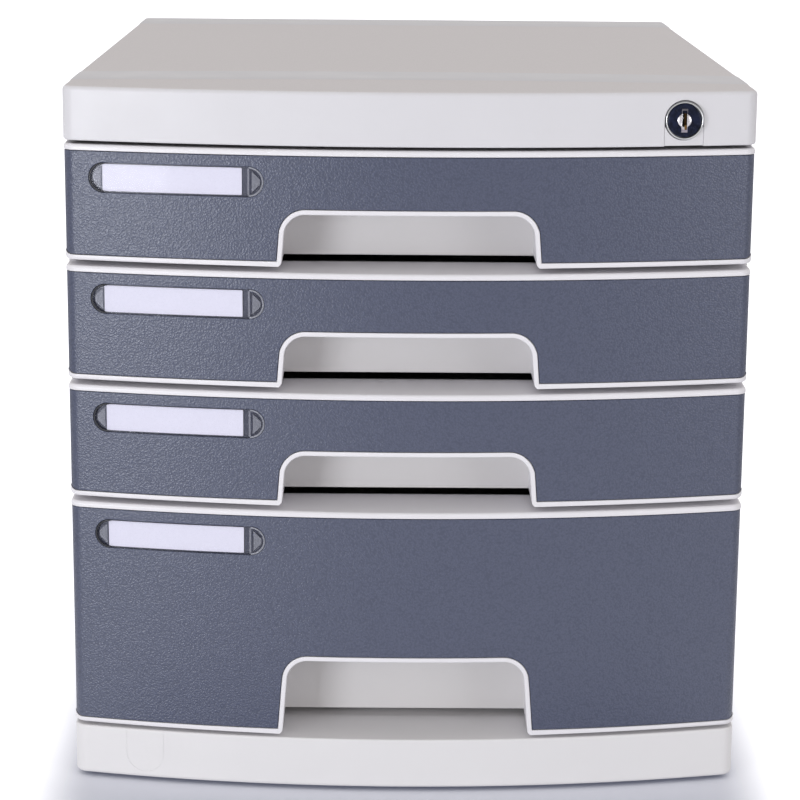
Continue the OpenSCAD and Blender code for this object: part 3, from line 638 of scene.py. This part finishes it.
def front_moulding(name, i):
    """The front of one drawer in flat space, then bowed."""
    z, height, opening = LEVELS[i], HEIGHTS[i], OPENINGS[i]
    piece = upright_box(name, 0, z, z + height, FRONT_BACK_Y)
    carve(piece, upright_box("hollow", FRONT_WALL, z + 2, z + height - 2.5, -150))
    for side in (-1, 1):
        inner, outer = sorted((side * OPENING_HALF, side * CHEEK_OUT))
        cheek = box("cheek", (inner, -197.5, z + 1), (outer, FRONT_BACK_Y, z + height - 1))
        carve(piece, cheek, mode="UNION")
    carve(piece, opening_prism("opening", opening, z))
    clear_flats(piece)
    round_edges(piece, lambda a, b: abs(a.y - b.y) > 0.5 and all(
        abs(p.z - z) < 0.02 and abs(abs(p.x) - OPENING_HALF) < 0.2 for p in (a, b)), FOOT_ROUND, 5)
    carve(piece, skin("pocket", -2, POCKET, z, height, opening, 0))
    clear_flats(piece)
    top = z + height
    round_edges(piece, lambda a, b: outer_edge(a, b, z) or outer_edge(a, b, top), OUTER_ROUND, 5)
    round_edges(piece, lambda a, b: opening_edge(a, b, z, opening), OPENING_ROUND, 3)
    round_edges(piece, lambda a, b: rim_edge(a, b, z, top, opening), RIM_ROUND, 2)
    for x in SCREW_XS:
        for row in screw_rows(i):
            carve(piece, rod("boss", (x, -182.5, row), 4, 29, "Y"), mode="UNION")
    cut_columns(piece)
    bow(piece)
    return smooth(piece)


def outer_edge(a, b, level):
    """True for an edge of the outline at that level, its straight sides too, but not the flat back."""
    same = abs(a.z - level) < 0.02 and abs(b.z - level) < 0.02
    return same and min(a.y, b.y) < BEFORE_BACK_Y and on_outline(a) and on_outline(b)


def opening_edge(a, b, z, opening):
    """True for an edge round the finger opening, on the face."""
    inside = all(abs(p.x) < 56.2 and p.z < z + opening + 0.1 for p in (a, b))
    return inside and a.y < ON_FACE_Y and b.y < ON_FACE_Y and max(a.z, b.z) > z + 0.3


def rim_edge(a, b, z, top, opening):
    """True for an edge between the rim and the pocket."""
    if not (on_outline(a) and on_outline(b)) or max(a.y, b.y) > BEFORE_BACK_Y:
        return False
    clear = all(z + 1.6 < p.z < top - 1.6 for p in (a, b))
    return clear and not opening_edge(a, b, z, opening)


# %% [markdown]
# The three shallow drawers are alike, so their front is modelled once and copied, each copy with its own
# mesh moved to its level. The deep one is made by the same helper at its own height.

# %% Make the four mouldings
LEVELS = {1: 240.5, 2: 187.0, 3: 133.5, 4: 26.6}
HEIGHTS = {1: 51.0, 2: 51.0, 3: 51.0, 4: 104.4}
OPENINGS = {1: 22.9, 2: 22.9, 3: 22.9, 4: 34.9}


def copy_to_level(piece, name, dz):
    """A copy with its own mesh and the same finishes, moved up or down."""
    twin = add_object(name, piece.data.copy())
    twin.data.name = name
    twin.data.transform(Matrix.Translation((0, 0, dz * MM)))
    return twin


def screw_rows(i):
    """Heights of the screws of one drawer front."""
    top = LEVELS[i] + HEIGHTS[i]
    return (top - 22, top - 72) if i == 4 else (top - 22,)


def four_pieces(kind, model):
    """Models a piece for drawer 1 and one for drawer 4, and copies the first for drawers 2 and 3."""
    made = {1: model(f"drawer_1_{kind}", 1)}
    for i in (2, 3):
        made[i] = copy_to_level(made[1], f"drawer_{i}_{kind}", LEVELS[i] - LEVELS[1])
    made[4] = model(f"drawer_4_{kind}", 4)
    return made


mouldings = four_pieces("moulding", front_moulding)
for i, piece in mouldings.items():
    give(piece, front_plastic)
    settle(piece, f"drawer_{i}", f"drawer_{i}_front")

# %% [markdown]
# ## Grained panels
#
# A panel lies three tenths of a millimetre below the rim and bends round both sides of the front. At its
# upper left a recess with round ends holds the label card and its window. The recess is cut while the
# front is still flat, and all outer edges get a small round that catches the light.

# %% Model a grained panel
WINDOW_X = -101.2
LABEL_DROP = 14.25
GAP = 0.3
RECESS_Y = -199.15


def rounded_bar(name, x, z, width, height, low_y, high_y):
    """A flat bar with round ends, lying in the plane of the front."""
    half, r = width / 2, height / 2
    piece = box(name, (x - half, low_y, z - r), (x + half, high_y, z + r))
    round_edges(piece, lambda a, b: abs(a.y - b.y) > (high_y - low_y) * 0.9, r - 0.01, 20)
    clear_flats(piece)
    return piece


def grained_panel(name, i):
    """The inlaid panel of one drawer in flat space, then bowed."""
    z, height = LEVELS[i], HEIGHTS[i]
    piece = skin(name, GAP, 2.35, z, height, OPENINGS[i], GAP)
    carve(piece, rounded_bar("recess", WINDOW_X, z + height - LABEL_DROP, 76.8, 13.2, -215, RECESS_Y))
    clear_flats(piece)
    count = round_edges(piece, lambda a, b: on_outline(a, GAP) and on_outline(b, GAP)
                        and a.y < -170 and b.y < -170, 0.25, 3)
    cut_columns(piece)
    bow(piece)
    print(name, "edges rounded:", count)
    return smooth(piece)


panels = four_pieces("inlay", grained_panel)
for i, piece in panels.items():
    give(piece, panel_grain, recess_floor_painted_shade)
    for face in piece.data.polygons:
        x, y, z = face.center / MM
        inside = abs(x - WINDOW_X) < 38.5 and abs(z - LEVELS[i] - HEIGHTS[i] + LABEL_DROP) < 6.8
        if inside and y - sag(x) > FRONT_Y + 0.5:
            face.material_index = 1
    settle(piece, f"drawer_{i}", f"drawer_{i}_panel")

# %% [markdown]
# ## Cover
#
# The cover is one shallow box, open below. All its outer edges are rounded while it is still a plain outline,
# then it is hollowed, ribbed and bored. Two smooth bands stand four tenths of a millimetre above the grained
# field. They are raised last: rows of points are bisected into the top, and the rows inside a band move up.

# %% U-shaped prism, outline and ribs
LOCK_X = 118.2
LOCK_Z = 304.3
U_R = 8.65
SCREW_PLACES = [(x, y) for x in (-143.25, 143.25) for y in (-129, 153)]


def u_prism(name, x, z, r, down, low_y, high_y, upside=1):
    """A prism along Y whose section is a U, with its round end up, or down with upside -1."""
    ends = sorted((z - upside * down, z + upside * r))
    piece = box(name, (x - r, low_y, ends[0]), (x + r, high_y, ends[1]))
    level = z + upside * r
    round_edges(piece, lambda a, b: abs(a.y - b.y) > 0.4 and abs(a.z - level) < 0.01
                and abs(b.z - level) < 0.01, r - 0.005, 24)
    clear_flats(piece)
    return piece


def casing(name, low_z, high_z, low_round, high_round):
    """The outline of the cover or the base as a solid, with every outer edge rounded."""
    piece = upright_box(name, 0, low_z, high_z, BACK_Y)
    round_edges(piece, lambda a, b: abs(a.z - b.z) > 1 and a.y > 200 and b.y > 200, 3.0, 6)
    for level, width in ((low_z, low_round), (high_z, high_round)):
        round_edges(piece, lambda a, b: abs(a.z - level) < 0.02 and abs(b.z - level) < 0.02, width, 6)
    return piece


def add_ribs(piece, low_z, high_z):
    """Joins three ribs across the inside of a casing."""
    for y in (-104, -20, 64):
        carve(piece, box("rib", (-148.5, y, low_z), (148.5, y + 2, high_z)), mode="UNION")


# %% Model the cover
BAND_Z = 317.0
FIELD_Z = 316.6
BAND_ROWS = (-147, -144.5, -114.5, -112, 163, 165.5)
BAND_BOW_R = 1314


def cover_shell():
    """The cover in flat space, then bowed, then with its bands raised."""
    piece = casing("cover_shell", 293, FIELD_Z, 0.9, 2.0)
    carve(piece, upright_box("hollow", WALL, 280, 313.6, INNER_BACK_Y))
    add_ribs(piece, 305.6, 314)
    for x, y in SCREW_PLACES:
        carve(piece, rod("post", (x, y, 304.3), 4, 19), mode="UNION")
    carve(piece, u_prism("lock_opening", LOCK_X, LOCK_Z, U_R, 14, -230, -184.9))
    clear_flats(piece)
    round_edges(piece, lock_rim, 0.35, 3)
    cut_columns(piece)
    bisect_at(piece, 1, BAND_ROWS)
    bow(piece)
    raise_bands(piece)
    return smooth(piece)


def raise_bands(piece):
    """Lifts the rows of the two bands, and curves the front band's two edges."""
    for vertex in piece.data.vertices:
        x, y, z = vertex.co / MM
        lift = min(1.0, (z - FIELD_Z + 2.0) / 2.0)
        if lift <= 0:
            continue
        if -144.6 < y < -114.4 or y > 165.4:
            vertex.co.z += (BAND_Z - FIELD_Z) * lift * MM
        if min(abs(y - row) for row in BAND_ROWS[:4]) < 0.01:
            vertex.co.y -= x * x / (2 * BAND_BOW_R) * MM


def lock_rim(a, b):
    """True for the edge of the lock's opening on the face."""
    beside = all(abs(p.x - LOCK_X) < 8.7 and p.z < 313.2 for p in (a, b))
    return beside and a.y < ON_FACE_Y and b.y < ON_FACE_Y and max(a.z, b.z) > 294.7


cover = cover_shell()
give(cover, white_plastic, top_grain, band_plastic)
for face in cover.data.polygons:
    if face.normal.z > 0.8 and face.center.z > 316.2 * MM:
        face.material_index = 2 if face.center.z > 316.65 * MM else 1
settle(cover, "cabinet", "top_cover")

# %% [markdown]
# ## Base
#
# The base is the cover's twin turned over: a deck with a skirt. Its lower edge has a wide round, and on the
# left it keeps the faint outline of a second lock opening that stays closed, moulded as a hairline.

# %% Model the base
FOOT_PLACES = [(x, y) for x in (-126, 126) for y in (-160, 171)]
HAIRLINE_Z = 13.7


def base_shell():
    """The base in flat space, then bowed."""
    piece = casing("base_shell", 2, 25, 1.9, 0.9)
    carve(piece, upright_box("hollow", WALL, -10, 22.5, INNER_BACK_Y))
    for x, y in FOOT_PLACES:
        carve(piece, rod("socket", (x, y, 13.5), 12.1, 20), mode="UNION")
        carve(piece, rod("bore", (x, y, 2.5), 9.1, 5))
    add_ribs(piece, 14.5, 23)
    for x, y in SCREW_PLACES:
        carve(piece, rod("hole", (x, y, 23.5), 1.7, 6))
    ring = u_prism("ring", -LOCK_X, HAIRLINE_Z, U_R, 20, -202, -200.85, -1)
    carve(ring, u_prism("inner", -LOCK_X, HAIRLINE_Z, 8.35, 24, -204, -190, -1))
    carve(piece, ring)
    clear_flats(piece)
    cut_columns(piece)
    bow(piece)
    return smooth(piece)


base = base_shell()
give(base, base_plastic_painted_bounce)
settle(base, "cabinet", "base")

# %% [markdown]
# ## Windows and cards
#
# Each drawer's label sits in the recess of its panel: a paper card under a clear window with round ends. The
# window has a raised rim, a ridge beside the card, and at each end a milky pad for a fingernail, whose outer
# side is cut at two slants. The rim is painted dark on the left, as painted shade where the recess shades it,
# and painted bright on the right, as a painted highlight; the right pad's slanted sides take the painted
# shade too.

# %% Model a window and its card
WINDOW_START = WINDOW_X - 38.3
STRAIGHT_HALF = 31.8
PAD_BACK_Y = -200.0


def nail_pad(name, flat_x, point_x, middle):
    """A raised pad with one straight side and two slanted ones, seen from the front."""
    low_x, high_x = sorted((flat_x, point_x))
    pad = box(name, (low_x, -200.88, middle - 4.8), (high_x, PAD_BACK_Y, middle + 4.8))
    toward = 1 if point_x > flat_x else -1
    choose(pad, "FACE", lambda c, n: n.x * toward > 0.9)
    bpy.ops.transform.resize(value=(1, 1, 0.26), center_override=(point_x * MM, -0.2, middle * MM))
    bpy.ops.object.mode_set(mode="OBJECT")
    round_edges(pad, lambda a, b: a.y < -200.8 and b.y < -200.8, 0.32, 2)
    return pad


def label_window(name, middle):
    """The clear window at that height in flat space, then bowed."""
    piece = rounded_bar(name, WINDOW_X, middle, 76.6, 13.0, -200.9, -199.75)
    carve(piece, rounded_bar("well", WINDOW_X, middle, 75.0, 11.4, -202, -200.15))
    clear_flats(piece)
    round_edges(piece, lambda a, b: a.y < -200.85 and b.y < -200.85, 0.3, 2)
    for flat, point in ((5.5, 1.9), (71.4, 75.1)):
        carve(piece, nail_pad("pad", WINDOW_START + flat, WINDOW_START + point, middle), mode="UNION")
    carve(piece, box("ridge", (WINDOW_START + 69.6, -200.8, middle - 5.75),
                     (WINDOW_START + 70.4, PAD_BACK_Y, middle + 5.75)), mode="UNION")
    clear_flats(piece)
    cut_columns(piece, 96)
    give(piece, window_clear, window_pad, window_painted_shade, window_painted_highlight)
    for face in piece.data.polygons:
        face.material_index = window_part(face.center / MM, face.normal, middle)
    bow(piece)
    return smooth(piece, 40)


def window_part(centre, normal, middle):
    """Which of a window's four materials a face takes, by its place in flat space."""
    if centre.y > -200.2:
        return 0
    across = abs(centre.x - WINDOW_X)
    out = math.hypot(max(0, across - STRAIGHT_HALF), centre.z - middle)
    # rim ends: painted highlight on the right, painted shade on the left and on the right pad's slants
    if out > 5.55 or centre.x < WINDOW_X - 37.4:
        if across < STRAIGHT_HALF:
            return 0
        return 3 if centre.x > WINDOW_X and out < 6.35 else 2
    pointed = across > 33.2 and abs(normal.y) < 0.6 and normal.x > 0.2
    return 2 if pointed and centre.x > WINDOW_X else 1


def label_card(name, middle):
    """The paper card behind the window."""
    low_x = WINDOW_START + 6
    piece = box(name, (low_x, -199.72, middle - 5.9), (low_x + 61.1, -199.35, middle + 5.9))
    round_edges(piece, lambda a, b: abs(a.y - b.y) > 0.2, 0.4, 3)
    cut_columns(piece, 96)
    bow(piece)
    return smooth(piece)


LABEL_Z = LEVELS[1] + HEIGHTS[1] - LABEL_DROP
windows = {1: label_window("drawer_1_window", LABEL_Z)}
cards = {1: label_card("drawer_1_card", LABEL_Z)}
for i in (2, 3, 4):
    rise = LEVELS[i] + HEIGHTS[i] - LEVELS[1] - HEIGHTS[1]
    windows[i] = copy_to_level(windows[1], f"drawer_{i}_window", rise)
    cards[i] = copy_to_level(cards[1], f"drawer_{i}_card", rise)
for i in windows:
    settle(windows[i], f"drawer_{i}", f"drawer_{i}_label_window")
    give(cards[i], card_paper)
    settle(cards[i], f"drawer_{i}", f"drawer_{i}_label_card")

# %% [markdown]
# ## Lock
#
# The lock's housing, plug and nut are turned parts. A circle is extruded and resized along the profile, as a
# lathe would follow it, and the last ring is merged with the first.

# %% Turn a profile
RING_Y = -190.88


def turned(name, profile, sides=72):
    """Turns pairs of a radius and a depth behind the ring round the lock's axis. Radius 0 closes it."""
    profile = [(r, RING_Y + y) for r, y in profile]
    radius, depth = profile[0]
    bpy.ops.object.select_all(action="DESELECT")
    bpy.ops.mesh.primitive_circle_add(vertices=sides, radius=max(radius, 0.01) * MM,
                                      location=(LOCK_X * MM, depth * MM, LOCK_Z * MM),
                                      rotation=(math.pi / 2, 0, 0))
    piece = bpy.context.active_object
    bpy.ops.object.transform_apply(location=True, rotation=True, scale=True)
    piece.name = name
    bpy.ops.object.mode_set(mode="EDIT")
    bpy.ops.mesh.select_all(action="SELECT")
    for (r0, y0), (r1, y1) in zip(profile, profile[1:]):
        bpy.ops.mesh.extrude_edges_move(TRANSFORM_OT_translate={"value": (0, (y1 - y0) * MM, 0)})
        scale = max(r1, 0.01) / max(r0, 0.01)
        bpy.ops.transform.resize(value=(scale, 1, scale),
                                 center_override=(LOCK_X * MM, y1 * MM, LOCK_Z * MM))
    bpy.ops.mesh.select_all(action="SELECT")
    bpy.ops.mesh.remove_doubles(threshold=0.001 * MM)
    bpy.ops.mesh.normals_make_consistent(inside=False)
    bpy.ops.object.mode_set(mode="OBJECT")
    return piece


# %% Chrome housing
housing = turned("lock_ring_and_barrel", [
    (8.35, 3), (8.35, 0.75), (8.31, 0.45), (8.18, 0.2), (7.97, 0.04), (7.8, 0), (7.66, 0.05), (7.52, 0.22),
    (7.44, 0.5), (7.42, 1.6), (5.05, 1.6), (5.05, 21), (6.2, 21), (6.5, 20.7), (6.5, 3), (8.35, 3)])
give(housing, chrome)
settle(smooth(housing, 35), "cabinet", "lock_housing")

# %% [markdown]
# The plug's face is a thick enamelled disc with a rounded edge. The key core is a separate round piece in its
# middle with a raised frame across it, darker above and paler below as painted shade and painted light.
# Inside the frame the slot is painted near black where it is deepest, as painted shade, bronze wards show at
# the right, the upper one darkened as painted shade, and bright ones at the left, one low and a small one
# higher up; the low one is nickel as painted light on bronze.

# %% Plug and key core
def lock_box(name, low, high):
    """A box whose corners are given from the middle of the lock's ring."""
    middle = (LOCK_X, RING_Y, LOCK_Z)
    return box(name, *([a + b for a, b in zip(middle, corner)] for corner in (low, high)))


plug = turned("lock_plug_face", [
    (0, 0.3), (5.2, 0.31), (6.5, 0.38), (7.0, 0.5), (7.28, 0.75), (7.35, 1.05), (7.35, 1.55), (5.0, 1.55),
    (5.0, 21.3), (0, 21.3)])
carve(plug, rod("core_bore", (LOCK_X, RING_Y + 2.9, LOCK_Z), 3.06, 6.2, "Y", 48))
carve(plug, lock_box("frame_cut", (-1.33, -1, -5.16), (1.33, 1.3, 5.16)))
carve(plug, rod("screw_bore", (LOCK_X, RING_Y + 17.2, LOCK_Z), 1.5, 10, "Y"))
clear_flats(plug)
give(plug, navy, zinc)
for face in plug.data.polygons:
    if face.center.y > (RING_Y + 1.5) * MM:
        face.material_index = 1
settle(smooth(plug, 35), "lock_core", "lock_plug")


def key_core_piece():
    """The core: a crowned disc, and a framed slot across it."""
    piece = turned("key_core_slot", [
        (0, 0.12), (1.8, 0.16), (2.6, 0.28), (2.95, 0.45), (3.04, 0.7), (3.04, 6.0), (0, 6.0)], 48)
    bar = lock_box("frame", (-1.31, 0.02, -5.13), (1.31, 1.28, 5.13))
    round_edges(bar, lambda a, b: a.y < RING_Y + 0.1 and b.y < RING_Y + 0.1, 0.14, 2)
    carve(piece, bar, mode="UNION")
    carve(piece, lock_box("slot", (-1.05, -1, -4.0), (1.05, 5, 4.3)))
    clear_flats(piece)
    bisect_at(piece, 2, (LOCK_Z - 2.9, LOCK_Z + 2.9))
    return piece


def core_part(centre):
    """Which of the core's four materials a face takes: painted shade deep in the slot and on top, painted
    light below.
    """
    if centre.y > RING_Y + 0.5:
        return 1
    if centre.z > LOCK_Z + 2.8:
        return 2
    return 3 if centre.z < LOCK_Z - 2.8 else 0


core = key_core_piece()
give(core, nickel, slot_painted_shade, frame_painted_shade, frame_painted_light)
for face in core.data.polygons:
    face.material_index = core_part(face.center / MM)
settle(smooth(core, 35), "lock_core", "key_core")

# %% Wards inside the slot
def ward(name, low, high, material):
    """A small step inside the key slot."""
    piece = lock_box(name, low, high)
    round_edges(piece, lambda a, b: a.y < (RING_Y + low[1] + 0.1) and b.y < (RING_Y + low[1] + 0.1), 0.1, 2)
    give(piece, material)
    settle(smooth(piece), "lock_core")


# the upper right ward is bronze darkened as painted shade; the low left one takes nickel as painted light on
# bronze
ward("ward_right", (0.1, 2.5, -4.02), (1.07, 5.02, 3.0), bronze_painted_shade)
ward("ward_low_right", (0.05, 0.5, -4.02), (1.07, 5.02, -2.0), bronze)
ward("ward_low_left", (-1.07, 0.4, -4.02), (0.02, 5.02, -2.7), nickel)
ward("ward_left", (-1.07, 0.3, 0.85), (-0.5, 5.02, 1.35), nickel)

# %% [markdown]
# ## Pieces that keep their shape
#
# Trays, side panels, the back panel, feet, the lock's small parts and the screws already have their true
# shape as solids. What a solid lacks is soft edges, so each one but the feet and screws is copied, its loose
# triangles are merged, its flats cleared, and a Bevel modifier rounds it.

# %% Soften a solid's edges
def softened(node, name, width, material, body):
    """A copy of a solid with rounded edges, standing for it."""
    piece = add_object(name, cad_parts[node].data.copy())
    clear_flats(piece)
    give(piece, material)
    pick(piece)
    bevel = piece.modifiers.new("round", "BEVEL")
    bevel.width = width * MM
    bevel.segments = 2
    bevel.limit_method = "ANGLE"
    bevel.angle_limit = math.radians(35)
    bpy.ops.object.modifier_apply(modifier=bevel.name)
    settle(smooth(piece), body, node)


for i in (1, 2, 3, 4):
    softened(f"drawer_{i}_tray", f"drawer_{i}_tray_soft", 0.35, tray_plastic, f"drawer_{i}")
softened("lock_insert", "lock_insert_soft", 0.12, white_plastic, "cabinet")
softened("back_panel", "back_panel_soft", 0.4, white_plastic, "cabinet")
softened("lock_bar", "lock_bar_soft", 0.25, bar_steel, "lock_bar")
softened("lock_cam", "lock_cam_soft", 0.2, zinc, "lock_core")
softened("lock_nut", "lock_nut_soft", 0.3, zinc, "cabinet")
for side in ("left", "right"):
    softened(f"side_panel_{side}", f"side_{side}_soft", 0.4, white_plastic, "cabinet")

# %% [markdown]
# Feet and screws are small and plain, so their solids stay and only get their finishes.

# %% Finishes of the solids that stay
for name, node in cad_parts.items():
    if node.hide_render:
        continue
    material = rubber if name.startswith("foot") else zinc
    give(node, material)
    print(name, "keeps its solid, in", material.name)

# %% [markdown]
# ## Studio
#
# The floor and everything round the object are white, with a soft bluish shadow close to the base. White is
# the floor's own glow, and only rays from the camera or a reflection see it, so it sheds no light. Near the
# base the glow fades to a dark blue, which paints the bluish shadow there, and reflections see the glow
# strongest near the object, a painted reflection on its lower parts.

# %% Rays that show the background
def seen_rays(tree):
    """One for rays from the camera or through a clear piece, and nought for the rest."""
    rays = tree.nodes.new("ShaderNodeLightPath").outputs
    return combine(tree, "Math", "MAXIMUM", rays["Is Camera Ray"], rays["Is Transmission Ray"])


# %% Floor
bpy.ops.object.select_all(action="DESELECT")
bpy.ops.mesh.primitive_plane_add(size=12, location=(0, 0, 0))
floor = bpy.context.active_object
floor.name = "studio_floor"


SHADOW_CORE = (0.13, 0.185, 0)
SHADOW_STRETCH = (2.8, 1, 0)


def floor_finish():
    """Pale floor with a painted bluish shadow near the object and white further out, whose glow reflections
    see most near the object.
    """
    material, tree, shader = start_finish("studio_floor_white", (0.80, 0.81, 0.85), 0.9)
    shader.inputs["Specular IOR Level"].default_value = 0.0
    away = combine(tree, "VectorMath", "ABSOLUTE", tree.nodes["Place"].outputs["Object"])
    away = combine(tree, "VectorMath", "SUBTRACT", away, SHADOW_CORE)
    away = combine(tree, "VectorMath", "MAXIMUM", away, (0, 0, 0))
    away = combine(tree, "VectorMath", "MULTIPLY", away, SHADOW_STRETCH)
    far = combine(tree, "VectorMath", "LENGTH", away)
    ramp = spread(tree, far, 0, 1, 0.035, 0.15, "SMOOTHSTEP")
    # painted shadow: the glow turns dark blue near the base
    blend(tree, ramp, (0.01, 0.015, 0.045), (0.80, 0.80, 0.82), shader.inputs["Emission Color"])
    rays = tree.nodes.new("ShaderNodeLightPath")
    # painted reflection: reflections see the floor glow strongest near the object
    nearby = spread(tree, far, 0.8, 0.1, 0.2, 1.3)
    share = combine(tree, "Math", "MULTIPLY", rays.outputs["Is Glossy Ray"], nearby)
    shown = combine(tree, "Math", "MAXIMUM", seen_rays(tree), share)
    tree.links.new(shown, shader.inputs["Emission Strength"])
    return material


give(floor, floor_finish())
print("floor:", floor.name)

# %% [markdown]
# The world is white where the camera sees it, and reflections see it darken overhead, as in a room. The light
# that it casts is warm and comes mostly from above: it lights the top, and leaves the finger openings to the
# lamps, whose shadows the photograph shows at both ends of each opening.

# %% World
def studio_world():
    """White surroundings with a soft, warm light that comes mostly from above."""
    world = bpy.data.worlds.new("studio")
    bpy.context.scene.world = world
    world.use_nodes = True
    tree = world.node_tree
    links = tree.links
    back = tree.nodes["Background"]
    place = tree.nodes.new("ShaderNodeTexCoord")
    split = tree.nodes.new("ShaderNodeSeparateXYZ")
    links.new(place.outputs["Generated"], split.inputs["Vector"])
    lit = spread(tree, split.outputs["Z"], 0.36, 0.85, 0, 1)
    mirrored = spread(tree, split.outputs["Z"], 0.9, 0.25, 0, 1)
    rays = tree.nodes.new("ShaderNodeLightPath")
    shiny = tree.nodes.new("ShaderNodeMix")
    links.new(rays.outputs["Is Glossy Ray"], shiny.inputs["Factor"])
    links.new(lit, shiny.inputs["A"])
    links.new(mirrored, shiny.inputs["B"])
    seen = seen_rays(tree)
    level = tree.nodes.new("ShaderNodeMix")
    links.new(seen, level.inputs["Factor"])
    links.new(shiny.outputs["Result"], level.inputs["A"])
    level.inputs["B"].default_value = 1.0
    links.new(level.outputs["Result"], back.inputs["Strength"])
    blend(tree, seen, (1.0, 0.975, 0.955), (1.0, 1.0, 1.0), back.inputs["Color"])
    return world


print("world:", studio_world().name)


# %% [markdown]
# A large key light stands in front on the left, low enough to favour the front over the top, and a weaker
# one fills from the right.

# %% Lights
def soft_box(name, place, target, width, height, power, tone):
    """An area light that faces a point."""
    lamp = bpy.data.lights.new(name, "AREA")
    lamp.shape = "RECTANGLE"
    lamp.size = width
    lamp.size_y = height
    lamp.energy = power
    lamp.color = tone
    holder = add_object(name, lamp)
    holder.location = place
    holder.rotation_euler = (Vector(target) - Vector(place)).to_track_quat("-Z", "Y").to_euler()


soft_box("key_light", (-1.05, -1.6, 0.24), (0, -0.15, 0.12), 0.6, 0.46, 11, (0.92, 0.945, 1.0))
soft_box("fill_light", (1.3, -1.4, 0.32), (0, -0.1, 0.12), 0.7, 0.6, 4.2, (0.95, 0.96, 1.0))
print("lights are up")

# %% [markdown]
# The camera stands a little above the cabinet and looks down at it by thirteen degrees, nearly square to its
# front, as in the photograph.

# %% Camera
CAMERA_AT = (-0.01117, -1.26949, 0.42779)
TURN = -0.411
DOWN = 12.934
ROLL = 0.474
camera = add_object("camera", bpy.data.cameras.new("camera"))
bpy.context.scene.camera = camera
camera.data.sensor_width = 36
camera.data.lens = 112.85
camera.data.clip_start = 0.05
camera.matrix_world = (Matrix.Translation(CAMERA_AT)
                       @ Matrix.Rotation(math.radians(TURN), 4, "Z")
                       @ Matrix.Rotation(math.radians(90 - DOWN), 4, "X")
                       @ Matrix.Rotation(math.radians(ROLL), 4, "Z"))
print("camera at", [round(v, 3) for v in camera.location])

# %% [markdown]
# ## Close
#
# View transform Standard shows colours as they are written.

# %% View settings
bpy.context.scene.view_settings.view_transform = "Standard"
